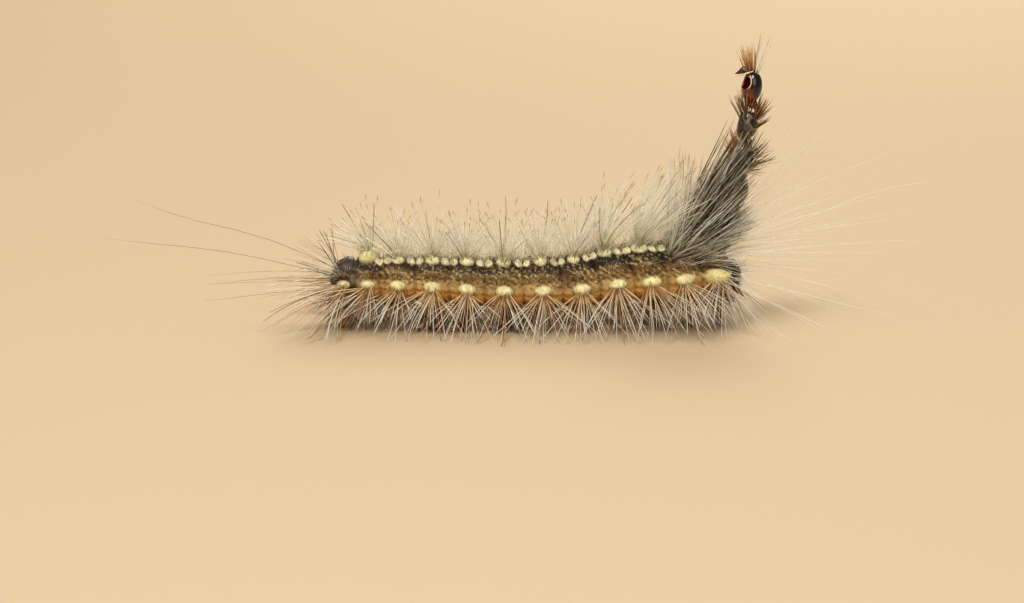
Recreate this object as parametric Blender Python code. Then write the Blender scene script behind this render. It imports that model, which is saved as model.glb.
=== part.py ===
"""A gum leaf skeletonizer larva at life size: body segments with their tufted warts, head, legs,
prolegs and the column of shed head shells that stands on its back.

Metres, +Z up. +X is the head end, +Y the larva's left. Inside this file a place along the body is
its distance s from the tail; the last step moves the origin to the middle of the model's box, on
the floor.
"""

import math
import random

import bmesh
import bpy
import numpy as np
from mathutils import Matrix, Vector

MM = 0.001

# Body: segments from the tail to the head, each with its length along s
SEGMENTS = (
    ("anal_segment", 1.15 * MM),
    ("abdomen_8", 1.25 * MM),
    ("abdomen_7", 1.75 * MM),
    ("abdomen_6", 1.70 * MM),
    ("abdomen_5", 1.75 * MM),
    ("abdomen_4", 1.95 * MM),
    ("abdomen_3", 1.95 * MM),
    ("abdomen_2", 1.85 * MM),
    ("abdomen_1", 1.70 * MM),
    ("metathorax", 1.65 * MM),
    ("mesothorax", 1.70 * MM),
    ("prothorax", 1.10 * MM),
)
BODY_LENGTH = sum(length for _, length in SEGMENTS)

# Radius of the body and height of its axis, as smooth curves through (s, value) in millimetres
RADIUS_KNOTS = ((0, 0.42), (0.25, 0.80), (0.7, 1.00), (2.0, 1.16), (5, 1.28), (9, 1.39), (12.4, 1.44),
                (16, 1.62), (17.5, 1.56), (18.9, 1.32), (19.5, 1.18))
AXIS_KNOTS = ((0, 2.30), (2, 2.38), (5, 2.30), (8.6, 2.12), (12.2, 2.22), (14.3, 2.53), (17.5, 2.78),
              (19.5, 2.90))

NODE_GAP = 0.25 * MM  # kept between neighbouring nodes
FOLD_DEPTH = 0.10  # share of the radius lost at a segment's two ends
BODY_SIDES = 14
MERGE = 0.0015 * MM  # points this close become one after a Boolean
FLOOR_CLEARANCE = 0.10 * MM  # under the lowest spine

# Spines: each stands for a lock of the long hairs. On a tuft they grow from the faces of its wart
SPINE_RADIUS = 0.29 * MM
SPINE_SIDES = 3
SPINE_STATIONS = ((0.0, 1.0), (0.45, 0.90), (0.80, 0.52))  # (share of the length, share of the radius)
BEAD_STEP = 0.3 * MM
BEND = 0.11  # sideways bend of a tuft's tips, as a share of their length
SEED = 11


class Row:
    """One lengthwise row of tufts. Angles are in degrees from the top of the body."""

    def __init__(self, angle, aim, wart, count, length, fan, spread, sag, spin):
        self.angle = angle  # of the wart on the skin
        self.aim = aim  # of the middle of its fan
        self.wart = wart * MM
        self.count = count
        self.length = length * MM
        self.fan = fan  # how far the fan opens along the body, as a share of the wart's own
        self.spread = spread  # the same, across the body
        self.sag = sag  # fall of the tips, as a share of the length
        self.spin = spin  # turn of the wart about its own axis


ROWS = (
    Row(angle=32, aim=18, wart=0.50, count=7, length=2.8, fan=0.95, spread=0.55, sag=0.10, spin=90),
    Row(angle=67, aim=60, wart=0.42, count=3, length=2.1, fan=0.9, spread=0.4, sag=0.12, spin=-90),
    Row(angle=98, aim=110, wart=0.50, count=8, length=3.5, fan=1.45, spread=0.5, sag=0.17, spin=-90),
    Row(angle=132, aim=120, wart=0.38, count=2, length=1.5, fan=1.0, spread=0.4, sag=0.06, spin=90),
)
DORSAL, SUBDORSAL, LATERAL, SUBVENTRAL = range(4)
SMALL_COUNTS = (4, 2, 6, 2)  # spines of a tuft at the two ends of the body

# Dorsal hair along s in mm: its aim from the top and its sweep towards the head, in degrees, and its
# length in millimetres. Behind the shed heads it stands up close to them
DORSAL_AIM_KNOTS = ((0, 18), (11, 17), (14, 12), (16, 6), (17.6, 5), (19.5, 16))
SWEEP_KNOTS = ((0, -58), (2, -24), (5, -4), (12, 2), (14.5, 14), (17, 38), (19.5, 40))
DORSAL_LENGTH_KNOTS = ((0, 2.5), (5, 2.8), (11, 3.0), (13.5, 3.5), (16, 4.8), (17.6, 5.6), (19.5, 4.2))

# Long hairs of the two ends: node, s, direction along X, and for each pair of hairs the distance
# of the roots from the middle, their height, pitch and yaw in degrees, and length, in millimetres
LONG_HAIRS = (
    ("prothorax", 19.10 * MM, 1, (
        (1.02, 3.74, 36, 36, 7.0),
        (1.26, 3.36, 24, 24, 9.6),
        (1.40, 2.92, 13, 13, 11.8),
        (1.42, 2.66, 3, 34, 8.6),
        (1.42, 2.46, -7, 17, 10.0),
        (1.44, 2.40, -12, 48, 6.4),
    )),
    ("anal_segment", 0.55 * MM, -1, (
        (0.43, 3.02, 46, 14, 4.2),
        (0.66, 2.85, 32, 34, 6.0),
        (0.34, 2.80, 20, 10, 9.0),
        (0.76, 2.52, 11, 27, 12.4),
        (0.58, 2.28, 2, 13, 8.4),
        (0.78, 2.02, -7, 44, 6.2),
    )),
)

# The long pale wart on each side of the prothorax: its place on the left, half sizes, and turns in degrees
NECK_LOBE_CENTRE = Vector((18.95, 1.36, 2.62)) * MM
NECK_LOBE_RADII = Vector((0.82, 0.36, 0.42)) * MM
NECK_LOBE_YAW = 3
NECK_LOBE_PITCH = -6

# Head
HEAD_CENTRE = Vector((19.66, 0, 2.42)) * MM
HEAD_RADII = Vector((0.76, 0.96, 1.04)) * MM
HEAD_LEAN = 6  # forward, in degrees
STEMMA_RADIUS = 0.10 * MM
STEMMATA = 6
ANTENNA_LENGTH = 0.62 * MM
ANTENNA_RADIUS = 0.24 * MM

# Shed head shells, the oldest and smallest first: centre (s, z), height, depth, width, forward lean
SHED_HEADS = (
    ((20.78, 11.95), 1.72, 1.00, 1.18, 8),
    ((20.56, 10.05), 1.66, 1.12, 1.26, 12),
    ((20.31, 8.45), 1.76, 1.22, 1.40, 14),
    ((20.02, 6.82), 1.92, 1.36, 1.52, 16),
    ((19.62, 5.12), 2.02, 1.50, 1.66, 20),
)
HOLLOW_BACK = 0.62  # how far behind the middle of the oldest shell its hollow lies, as a share of its radius
HOLLOW_SHARES = (0.95, 0.66, 0.66)  # the hollow's half sizes as shares of the shell's
CROWN_SPINES = 8
CROWN_LENGTH = 0.95 * MM
CROWN_RADIUS = 0.25 * MM
CROWN_LATITUDE = 34  # of the roots, in degrees
CROWN_RISES = (34, 22, 46, 10, 58, -2)  # pitches to try, in degrees
# The tuft on top of the oldest shed head: for each pair of bristles the heading from the front and the
# latitude of the roots, the heading and pitch of the bristles, in degrees, and their length
TOP_TUFT = (
    (160, 62, 165, 74, 1.45 * MM),
    (110, 60, 130, 82, 1.55 * MM),
    (62, 66, 20, 80, 1.75 * MM),
)

# Legs
PROLEG_OFFSET = 0.64 * MM
PROLEG_RADIUS = 0.44 * MM
ANAL_PROLEG_OFFSET = 0.46 * MM
ANAL_PROLEG_RADIUS = 0.36 * MM
ANAL_PROLEG_PLACE = 0.80 * MM
ANAL_PROLEG_REACH = 0.18 * MM  # how far behind its root the foot stands
FOOT_SPREAD = 1.12  # the feet stand this much further apart than the roots of the prolegs
PROLEG_HEIGHT = 1.3 * MM  # of the posts that spines keep clear of
PROLEG_SEGMENTS = ("abdomen_4", "abdomen_5", "abdomen_6")
LEG_OFFSET = 0.52 * MM
LEG_RADIUS = 0.32 * MM
LEG_KNEE = (0.10 * MM, 0.80 * MM)  # ahead of the root, and from the middle
LEG_SHIN = (0.22 * MM, 0.86 * MM)
LEG_FOOT = (0.34 * MM, 0.78 * MM)
LEG_HEIGHT = 1.4 * MM  # of the posts that spines keep clear of
LEG_SEGMENTS = ("metathorax", "mesothorax", "prothorax")
LEG_SIDES = 8


def through(knots, place):
    """Value at place on a smooth curve through (place, value) knots."""
    if place <= knots[0][0]:
        return knots[0][1]
    if place >= knots[-1][0]:
        return knots[-1][1]
    last = len(knots) - 1

    def slope(i):
        low, high = knots[max(i - 1, 0)], knots[min(i + 1, last)]
        return (high[1] - low[1]) / (high[0] - low[0])

    i = max(k for k in range(last) if knots[k][0] <= place)
    (p0, v0), (p1, v1) = knots[i], knots[i + 1]
    span = p1 - p0
    t = (place - p0) / span
    rise = (2 * t**3 - 3 * t**2 + 1) * v0 + (3 * t**2 - 2 * t**3) * v1
    return rise + span * ((t**3 - 2 * t**2 + t) * slope(i) + (t**3 - t**2) * slope(i + 1))


def body_radius(s):
    return through(RADIUS_KNOTS, s / MM) * MM


def axis_height(s):
    return through(AXIS_KNOTS, s / MM) * MM


def around(degrees_from_top, side):
    """Unit vector out of the body at an angle from its top, on the left (side 1) or right (-1)."""
    angle = math.radians(degrees_from_top)
    return Vector((0, side * math.sin(angle), math.cos(angle)))


def unit_vector(heading, pitch):
    """Unit vector at a heading from the front towards the left and a pitch, in degrees."""
    turn, rise = math.radians(heading), math.radians(pitch)
    return Vector((math.cos(turn) * math.cos(rise), math.sin(turn) * math.cos(rise), math.sin(rise)))


def skin_point(s, direction, rise=0.0):
    """Point of the body's surface at s in a direction square to the axis."""
    return Vector((s, 0, axis_height(s))) + direction * (body_radius(s) + rise)


def belly_height(s, y):
    """Height of the body's underside over the point (s, y)."""
    radius = body_radius(s)
    return axis_height(s) - math.sqrt(max(radius**2 - y**2, 0))


def segment_spans():
    """{name: (start, end)} along s."""
    spans, start = {}, 0.0
    for name, length in SEGMENTS:
        spans[name] = (start, start + length)
        start += length
    return spans


SPANS = segment_spans()


# Mesh helpers

def material(name, colour, roughness):
    made = bpy.data.materials.new(name)
    made.use_nodes = True
    shader = made.node_tree.nodes["Principled BSDF"]
    shader.inputs["Base Color"].default_value = (*colour, 1)
    shader.inputs["Roughness"].default_value = roughness
    shader.inputs["Metallic"].default_value = 0.0
    return made


def object_of(bm, name, collection):
    """A new object that holds the bmesh, with its faces pointing out."""
    bmesh.ops.recalc_face_normals(bm, faces=bm.faces)
    mesh = bpy.data.meshes.new(name)
    bm.to_mesh(mesh)
    bm.free()
    made = bpy.data.objects.new(name, mesh)
    collection.objects.link(made)
    return made


def loft(rings):
    """A closed bmesh over rings of points, where a ring of one point is a tip."""
    bm = bmesh.new()
    loops = [[bm.verts.new(point) for point in ring] for ring in rings]
    for low, high in zip(loops, loops[1:]):
        sides = max(len(low), len(high))
        for k in range(sides):
            n = (k + 1) % sides
            if len(high) == 1:
                bm.faces.new((low[k], low[n], high[0]))
            elif len(low) == 1:
                bm.faces.new((low[0], high[n], high[k]))
            else:
                bm.faces.new((low[k], low[n], high[n], high[k]))
    for end in (loops[0], loops[-1]):
        if len(end) > 1:
            bm.faces.new(end)
    return bm


def ball(radii, centre, turn=None, u=8, v=6):
    """A closed ellipsoid bmesh, turned about its centre."""
    bm = bmesh.new()
    bmesh.ops.create_uvsphere(bm, u_segments=u, v_segments=v, radius=1)
    bmesh.ops.transform(bm, matrix=Matrix.Diagonal((*radii, 1)), verts=bm.verts)
    if turn is not None:
        bmesh.ops.transform(bm, matrix=turn, verts=bm.verts)
    bmesh.ops.translate(bm, vec=centre, verts=bm.verts)
    return bm


def keep_largest(bm):
    """Deletes all but the connected surface that encloses the most."""
    bm.faces.ensure_lookup_table()
    seen, shells = set(), []
    for first in bm.faces:
        if first in seen:
            continue
        shell, queue = [], [first]
        seen.add(first)
        while queue:
            face = queue.pop()
            shell.append(face)
            for edge in face.edges:
                for other in edge.link_faces:
                    if other not in seen:
                        seen.add(other)
                        queue.append(other)
        shells.append(shell)

    def enclosed(shell):
        volume = 0.0
        for face in shell:
            corners = [loop.vert.co for loop in face.loops]
            for b, c in zip(corners[1:], corners[2:]):
                volume += corners[0].dot(b.cross(c))
        return volume

    largest = max(shells, key=enclosed)
    spare = [face for shell in shells if shell is not largest for face in shell]
    if spare:
        bmesh.ops.delete(bm, geom=spare, context="FACES")


def is_sound(bm, operation, volume):
    """Closed all round, and no smaller after a union, or bigger after a cut, than it was."""
    closed = all(len(edge.link_faces) == 2 for edge in bm.edges)
    now = bm.calc_volume()
    return closed and (now > volume if operation == "UNION" else 0 < now < volume)


def combine(base, pieces, operation):
    """base with one Boolean against a collection of closed pieces applied; the pieces are removed."""
    group = bpy.data.collections.new("pieces")
    bpy.context.scene.collection.children.link(group)
    for number, piece in enumerate(pieces):
        object_of(piece, f"piece_{number}", group)
    bm = bmesh.new()
    bm.from_mesh(base.data)
    volume = bm.calc_volume()
    bm.free()
    change = base.modifiers.new("join", "BOOLEAN")
    change.operation = operation
    change.operand_type = "COLLECTION"
    change.collection = group
    for change.solver in ("EXACT", "MANIFOLD"):
        bpy.context.view_layer.update()
        mesh = bpy.data.meshes.new_from_object(base.evaluated_get(bpy.context.evaluated_depsgraph_get()))
        bm = bmesh.new()
        bm.from_mesh(mesh)
        bpy.data.meshes.remove(mesh)
        bmesh.ops.triangulate(bm, faces=bm.faces)
        for _ in range(2):
            bmesh.ops.remove_doubles(bm, verts=bm.verts, dist=MERGE)
            bmesh.ops.dissolve_degenerate(bm, edges=bm.edges, dist=MERGE)
        bmesh.ops.remove_doubles(bm, verts=bm.verts, dist=MERGE)
        keep_largest(bm)
        if is_sound(bm, operation, volume):
            break
    base.modifiers.clear()
    bm.to_mesh(base.data)
    bm.free()
    for piece in list(group.objects):
        bpy.data.meshes.remove(piece.data)
    bpy.data.collections.remove(group)


# Spines

class Spine:
    """A bent, tapering lock: points along it, its radius at the root, and the node it grows from."""

    def __init__(self, node, points, radius):
        self.node, self.points, self.radius = node, points, radius

    def at(self, share):
        """Point at a share of the length, on a smooth curve through the points."""
        reach = share * (len(self.points) - 1)
        i = min(int(reach), len(self.points) - 2)
        return self.points[i].lerp(self.points[i + 1], reach - i)

    def width(self, share):
        """Radius at a share of the length."""
        stations = (*SPINE_STATIONS, (1.0, 0.0))
        for (a, wide), (b, narrow) in zip(stations, stations[1:]):
            if share <= b:
                return self.radius * (wide + (narrow - wide) * (share - a) / (b - a))
        return 0.0

    def beads(self):
        """Balls that fill the lock, as rows of x, y, z and radius."""
        length = sum((b - a).length for a, b in zip(self.points, self.points[1:]))
        count = max(int(length / BEAD_STEP), 3) + 1
        shares = [k / (count - 1) for k in range(count)]
        return np.array([(*self.at(share), self.width(share)) for share in shares])

    def mesh(self):
        rings = []
        for share, wide in SPINE_STATIONS:
            ahead = (self.at(min(share + 0.1, 1.0)) - self.at(max(share - 0.1, 0.0))).normalized()
            across = ahead.cross(Vector((0.31, 0.17, 0.93))).normalized()
            other = ahead.cross(across)
            ring = []
            for k in range(SPINE_SIDES):
                turn = 2 * math.pi * k / SPINE_SIDES
                ring.append(self.at(share) + (across * math.cos(turn) + other * math.sin(turn))
                            * self.radius * wide)
            rings.append(ring)
        rings.append([self.at(1.0)])
        return loft(rings)


def bent(root, direction, length, pull, stations=8):
    """Points of a lock that leaves root in a direction and is bent towards pull, a share of its length."""
    shares = [k / (stations - 1) for k in range(stations)]
    return [root + (direction * share + pull * share**2) * length for share in shares]


class Planner:
    """Accepts spines one by one, bending each clear of the other nodes."""

    def __init__(self, hard):
        self.taken = {}
        self.hard = hard

    def clear(self, spine):
        beads = spine.beads()
        if (beads[:, 2] - beads[:, 3] < FLOOR_CLEARANCE).any():
            return False
        for node, shape in self.hard.items():
            if node != spine.node and shape(beads):
                return False
        for node, others in self.taken.items():
            if node == spine.node:
                continue
            rows = np.concatenate(others)
            apart = np.linalg.norm(beads[:, None, :3] - rows[None, :, :3], axis=2)
            if (apart < beads[:, None, 3] + rows[None, :, 3] + NODE_GAP).any():
                return False
        return True

    def fill(self, node, beads):
        self.taken.setdefault(node, []).append(np.array(beads))

    def add(self, choices):
        """Takes the first choice that is clear of the other nodes, with its mirror image, if any is."""
        for spine in choices:
            if self.clear(spine):
                twin = mirrored(spine)
                for one in (spine, twin):
                    self.fill(one.node, one.beads())
                return spine, twin
        return None


def mirrored(spine):
    return Spine(spine.node, [Vector((p.x, -p.y, p.z)) for p in spine.points], spine.radius)


# What the spines keep clear of, besides each other

def touches_body(start, end):
    def test(beads):
        inside = False
        for x, y, z, radius in beads:
            if start - NODE_GAP - radius < x < end + NODE_GAP + radius:
                s = min(max(x, start), end)
                reach = math.hypot(y, z - axis_height(s))
                inside = inside or reach < body_radius(s) + radius + NODE_GAP * 0.6
        return inside
    return test


def touches_ball(centre, radii, turn=None):
    def test(beads):
        places = beads[:, :3] - np.array(centre)
        if turn is not None:
            places = places @ np.array(turn)[:3, :3]
        room = np.array(radii)[None, :] + beads[:, 3:] + NODE_GAP
        return bool((((places / room) ** 2).sum(axis=1) < 1).any())
    return test


def touches_post(foot, radius, height):
    """A leg, as an upright post."""
    def test(beads):
        apart = np.hypot(beads[:, 0] - foot[0], beads[:, 1] - foot[1])
        return bool(((apart < radius + beads[:, 3] + NODE_GAP) & (beads[:, 2] < height)).any())
    return test


# Body segments

def barrel(start, end):
    """One segment's tube, fuller in the middle, from a primitive cylinder with rings moved into place."""
    bm = bmesh.new()
    bmesh.ops.create_cone(bm, cap_ends=True, segments=BODY_SIDES, radius1=1, radius2=1, depth=1)
    rails = [edge for edge in bm.edges if abs(edge.verts[0].co.z - edge.verts[1].co.z) > 0.5]
    bmesh.ops.subdivide_edges(bm, edges=rails, cuts=2, use_grid_fill=False)
    low, high = start + NODE_GAP / 2, end - NODE_GAP / 2
    if start == 0:
        low = 0.0
    for vert in bm.verts:
        t = vert.co.z + 0.5
        eased = 0.5 - 0.5 * math.cos(math.pi * t)
        share = 0.35 * t + 0.65 * eased
        s = low + (high - low) * share
        fold = 1 - FOLD_DEPTH * abs(2 * share - 1) ** 3
        if start == 0 and share < 0.5:
            fold = 1.0
        out = Vector((0, vert.co.x, vert.co.y)).normalized()
        vert.co = Vector((s, 0, axis_height(s))) + out * body_radius(s) * fold
    return bm


def wart_size(s):
    """Warts are full size along the trunk and smaller on the tail."""
    return through(((0, 0.74), (3, 0.90), (5, 1.0), (19.5, 1.0)), s / MM)


class Tuft:
    """A wart with its fan of spines: an icosahedron with spines drawn out of some of its faces."""

    def __init__(self, node, s, row, aim, sweep, draw):
        self.node, self.row = node, row
        self.centre = skin_point(s, around(row.angle, 1), -0.06 * MM)
        self.size = row.wart * wart_size(s)
        self.out = around(aim, 1) * math.cos(sweep) + Vector((math.sin(sweep), 0, 0))
        self.along = Vector((1, 0, 0)) - self.out * self.out.x
        self.along.normalize()
        self.across = self.out.cross(self.along)
        turn = Matrix((self.along, self.across, self.out)).transposed()
        turn = turn @ Matrix.Rotation(math.radians(row.spin), 3, "Z")
        bm = bmesh.new()
        bmesh.ops.create_icosphere(bm, subdivisions=1, radius=self.size)
        self.verts = [self.centre + turn @ vert.co for vert in bm.verts]
        self.faces = [[vert.index for vert in face.verts] for face in bm.faces]
        bm.free()
        skin = around(row.angle, 1)
        self.faces.sort(key=lambda face: -self.normal(face).dot(self.out * 0.7 + skin * 0.3))
        self.spines = {}
        self.pull = Vector((draw.uniform(-BEND, BEND) + 0.3 * BEND * math.sin(sweep), 0, -row.sag))

    def middle(self, face):
        return sum((self.verts[i] for i in face), Vector()) / 3

    def normal(self, face):
        return (self.middle(face) - self.centre).normalized()

    def choices(self, number, length, draw):
        """The spine of one face, then the same spine turned away from the neighbouring segments."""
        face, row = self.faces[number], self.row
        normal = self.normal(face)
        lean = math.asin(normal.dot(self.along)) * row.fan + math.radians(draw.uniform(-4, 4))
        tilt = math.atan2(normal.dot(self.across), normal.dot(self.out)) * row.spread
        tilt += math.radians(draw.uniform(-3, 3))
        root = self.middle(face)
        radius = (self.verts[face[0]] - root).length
        for share in (1.0, 0.86, 0.72):
            for ease in (1.0, 0.8, 0.6, 0.42, 0.25, 0.1, 0.0):
                for extra in (0, -5, 5, -11, 11, -18):
                    turned = tilt + math.radians(extra)
                    out = self.out * math.cos(turned) + self.across * math.sin(turned)
                    direction = out * math.cos(lean * ease) + self.along * math.sin(lean * ease)
                    yield Spine(self.node, bent(root, direction, length * share, self.pull), radius)

    def mirror(self):
        """The same tuft on the right side, without its spines."""
        twin = object.__new__(Tuft)
        twin.node, twin.faces, twin.spines = self.node, self.faces, {}
        twin.centre = Vector((self.centre.x, -self.centre.y, self.centre.z))
        twin.size = self.size
        twin.verts = [Vector((p.x, -p.y, p.z)) for p in self.verts]
        return twin

    def mesh(self):
        bm = bmesh.new()
        verts = [bm.verts.new(point) for point in self.verts]
        for number, face in enumerate(self.faces):
            spine = self.spines.get(number)
            if spine is None:
                bm.faces.new([verts[i] for i in face])
                continue
            middle = self.middle(face)
            low = [verts[i] for i in face]
            for share, wide in SPINE_STATIONS[1:]:
                high = [bm.verts.new(spine.at(share) + (self.verts[i] - middle) * wide) for i in face]
                for k in range(3):
                    n = (k + 1) % 3
                    bm.faces.new((low[k], low[n], high[n]))
                    bm.faces.new((low[k], high[n], high[k]))
                low = high
            tip = bm.verts.new(spine.at(1.0))
            for k in range(3):
                bm.faces.new((low[k], low[(k + 1) % 3], tip))
        return bm


def plan_tufts(planner, draw):
    """Every wart of both sides with its fan; the middle spines of all the fans come first."""
    tufts, wanted = [], []
    for name, (start, end) in SPANS.items():
        s = (start + end) / 2
        small = name in ("anal_segment", "abdomen_8")
        for kind, row in enumerate(ROWS):
            if name == "prothorax" and kind == LATERAL:
                continue
            sweep = math.radians(through(SWEEP_KNOTS, s / MM))
            if kind == DORSAL:
                left = Tuft(name, s, row, through(DORSAL_AIM_KNOTS, s / MM), sweep, draw)
            else:
                left = Tuft(name, s, row, row.aim, sweep * 0.6, draw)
            right = left.mirror()
            tufts += [left, right]
            for tuft in (left, right):
                planner.fill(name, [(*tuft.centre, tuft.size)])
            count = row.count
            if small or name == "prothorax":
                count = SMALL_COUNTS[kind]
            for number in range(count):
                reach = abs(left.normal(left.faces[number]).dot(left.along))
                wanted.append((reach, len(wanted), s, kind, left, right, number))
    wanted.sort(key=lambda item: item[:2])
    for _, _, s, kind, left, right, number in wanted:
        length = through(DORSAL_LENGTH_KNOTS, s / MM) * MM if kind == DORSAL else ROWS[kind].length
        spines = planner.add(left.choices(number, length * draw.uniform(0.86, 1.1), draw))
        if spines:
            left.spines[number], right.spines[number] = spines
    return tufts


def plan_long_hairs(planner, draw):
    """The long feelers of hair before the head and behind the tail."""
    spines = []
    for name, s, toward, table in LONG_HAIRS:
        for out, up, pitch, yaw, length in table:
            root = Vector((s, out * MM, up * MM))
            rise = pitch + draw.uniform(-2, 2)
            choices = []
            for extra in (0, 6, 12, -6, 18, 24):
                direction = unit_vector(yaw + extra, rise)
                direction.x *= toward
                points = bent(root, direction, length * MM, Vector((0, 0, -0.08)))
                choices.append(Spine(name, points, SPINE_RADIUS))
            spines += planner.add(choices) or ()
    return spines


def neck_lobe(side):
    """The long pale wart of the prothorax, which reaches forward beside the head."""
    centre = Vector((NECK_LOBE_CENTRE.x, side * NECK_LOBE_CENTRE.y, NECK_LOBE_CENTRE.z))
    turn = Matrix.Rotation(math.radians(side * NECK_LOBE_YAW), 4, "Z")
    turn = turn @ Matrix.Rotation(math.radians(NECK_LOBE_PITCH), 4, "Y")
    return ball(NECK_LOBE_RADII, centre, turn, u=10, v=6)


def build_segments(tufts, spines, collection, paint):
    for name, (start, end) in SPANS.items():
        made = object_of(barrel(start, end), name, collection)
        pieces = [tuft.mesh() for tuft in tufts if tuft.node == name]
        pieces += [spine.mesh() for spine in spines if spine.node == name]
        if name == "prothorax":
            pieces += [neck_lobe(side) for side in (-1, 1)]
        combine(made, pieces, "UNION")
        made.data.materials.append(paint["tail"] if name == "anal_segment" else paint["skin"])


# Head and shed heads

def shell(centre, radii, lean, u=12, v=8):
    """A larva's head: two rounded lobes above, narrowing to the mouth below."""
    bm = bmesh.new()
    bmesh.ops.create_uvsphere(bm, u_segments=u, v_segments=v, radius=1)
    for vert in bm.verts:
        x, y, z = vert.co
        cleft = 0.13 * math.exp(-(y / 0.3) ** 2) * max(z, 0)
        narrow = 1 - 0.26 * max(-z, 0) ** 1.5
        vert.co = Vector((x * narrow * (1 - cleft), y * narrow, z * (1 - cleft)))
    turn = Matrix.Rotation(math.radians(lean), 4, "Y")
    bmesh.ops.transform(bm, matrix=turn @ Matrix.Diagonal((*radii, 1)), verts=bm.verts)
    bmesh.ops.translate(bm, vec=centre, verts=bm.verts)
    return bm


def mouth(centre, radii, lean):
    """Upper lip and jaws, as small bodies at the lower front of a head."""
    turn = Matrix.Rotation(math.radians(lean), 4, "Y")

    def place(x, y, z):
        return centre + turn @ Vector((x * radii[0], y * radii[1], z * radii[2]))

    parts = [ball((radii[0] * 0.34, radii[1] * 0.34, radii[2] * 0.24), place(0.52, 0, -0.86), turn, 7, 4)]
    for side in (-1, 1):
        parts.append(ball((radii[0] * 0.26, radii[1] * 0.22, radii[2] * 0.24),
                          place(0.36, side * 0.26, -1.0), turn, 6, 4))
    return parts


def stemmata():
    """The small simple eyes, in an arc low on each side of the head."""
    parts = []
    for side in (-1, 1):
        for k in range(STEMMATA):
            angle = math.radians(-64 + 50 * k / (STEMMATA - 1) * 1.6)
            x = 0.52 + 0.20 * math.cos(angle)
            z = -0.42 + 0.24 * math.sin(angle)
            y = side * math.sqrt(1 - x**2 - z**2)
            narrow = 1 - 0.26 * max(-z, 0) ** 1.5
            spot = Vector((x * narrow * HEAD_RADII.x, y * narrow * HEAD_RADII.y, z * HEAD_RADII.z))
            parts.append(ball((STEMMA_RADIUS,) * 3, HEAD_CENTRE + spot, None, 5, 3))
    return parts


def slab(x_low, x_high):
    """A box across the whole model between two places along s, for cutting."""
    bm = bmesh.new()
    size = 12 * MM
    bmesh.ops.create_cube(bm, size=1)
    bmesh.ops.scale(bm, vec=(x_high - x_low, size, size), verts=bm.verts)
    bmesh.ops.translate(bm, vec=((x_low + x_high) / 2, 0, HEAD_CENTRE.z), verts=bm.verts)
    return bm


def build_head(collection, paint):
    made = object_of(shell(HEAD_CENTRE, HEAD_RADII, HEAD_LEAN, 16, 10), "head", collection)
    combine(made, mouth(HEAD_CENTRE, HEAD_RADII, HEAD_LEAN) + stemmata(), "UNION")
    neck = BODY_LENGTH + NODE_GAP / 2
    combine(made, [slab(neck - 4 * MM, neck)], "DIFFERENCE")
    made.data.materials.append(paint["head"])
    for side, word in ((1, "left"), (-1, "right")):
        out = Vector((0.62, side * 0.66, -0.42)).normalized()
        spot = Vector((out.x * HEAD_RADII.x, out.y * HEAD_RADII.y, out.z * HEAD_RADII.z))
        root = HEAD_CENTRE + spot + out * NODE_GAP
        aim = Vector((0.72, side * 0.5, -0.5)).normalized()
        across = aim.cross(Vector((0, 0, 1))).normalized()
        other = aim.cross(across)
        rings = []
        for share, wide in ((0.0, 1.0), (0.34, 0.92), (0.38, 0.7), (0.74, 0.6), (0.78, 0.36), (1.0, 0.26)):
            rings.append([root + aim * ANTENNA_LENGTH * share
                          + (across * math.cos(turn) + other * math.sin(turn)) * ANTENNA_RADIUS * wide
                          for turn in (2 * math.pi * k / 7 for k in range(7))])
        antenna = object_of(loft(rings), f"antenna_{word}", collection)
        antenna.data.materials.append(paint["leg"])


def shed_frame(number):
    """Centre, half sizes and lean of one shed head."""
    (s, z), height, depth, width, lean = SHED_HEADS[number]
    centre = Vector((s * MM, 0, z * MM))
    return centre, Vector((depth / 2, width / 2, height / 2)) * MM, lean


def plan_crowns(planner, draw):
    """Bristles round the upper half of each shed head, flaring up and out."""
    spines = []
    for number in range(len(SHED_HEADS)):
        node = f"shed_head_{number + 1}"
        centre, radii, _ = shed_frame(number)
        if number == 0:
            plan = [(spot, latitude, heading, (pitch,), length)
                    for spot, latitude, heading, pitch, length in TOP_TUFT]
        else:
            plan = []
            for k in range(CROWN_SPINES // 2):
                heading = 360 * (k + 0.5) / CROWN_SPINES
                length = CROWN_LENGTH * (0.82 + 0.07 * number) * draw.uniform(0.9, 1.12) + 0.2 * MM
                plan.append((heading, CROWN_LATITUDE, heading, CROWN_RISES, length))
        for spot, latitude, heading, pitches, length in plan:
            out = unit_vector(spot, latitude)
            root = centre + Vector((radii.x * out.x, radii.y * out.y, radii.z * out.z * 0.9))
            root = root.lerp(centre, 0.16)
            choices = []
            for pitch in pitches:
                points = bent(root, unit_vector(heading, pitch), length, Vector((0, 0, 0.12)))
                choices.append(Spine(node, points, CROWN_RADIUS))
            spines += planner.add(choices) or ()
    return spines


def build_shed_heads(spines, collection, paint):
    for number in range(len(SHED_HEADS)):
        name = f"shed_head_{number + 1}"
        centre, radii, lean = shed_frame(number)
        made = object_of(shell(centre, radii, lean), name, collection)
        pieces = mouth(centre, radii, lean)
        pieces += [spine.mesh() for spine in spines if spine.node == name]
        combine(made, pieces, "UNION")
        cutters = []
        if number + 1 < len(SHED_HEADS):
            below, wide, tip = shed_frame(number + 1)
            cutters.append(shell(below, wide + Vector((NODE_GAP,) * 3), tip))
        else:
            cutters.append(neck_clearance())
        if number == 0:
            turn = Matrix.Rotation(math.radians(lean), 4, "Y")
            hollow = centre + turn @ Vector((-HOLLOW_BACK * radii.x, 0, 0))
            half_sizes = [share * wide for share, wide in zip(HOLLOW_SHARES, radii)]
            cutters.append(ball(half_sizes, hollow, turn, 10, 6))
        combine(made, cutters, "DIFFERENCE")
        made.data.materials.append(paint["shed"])


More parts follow.
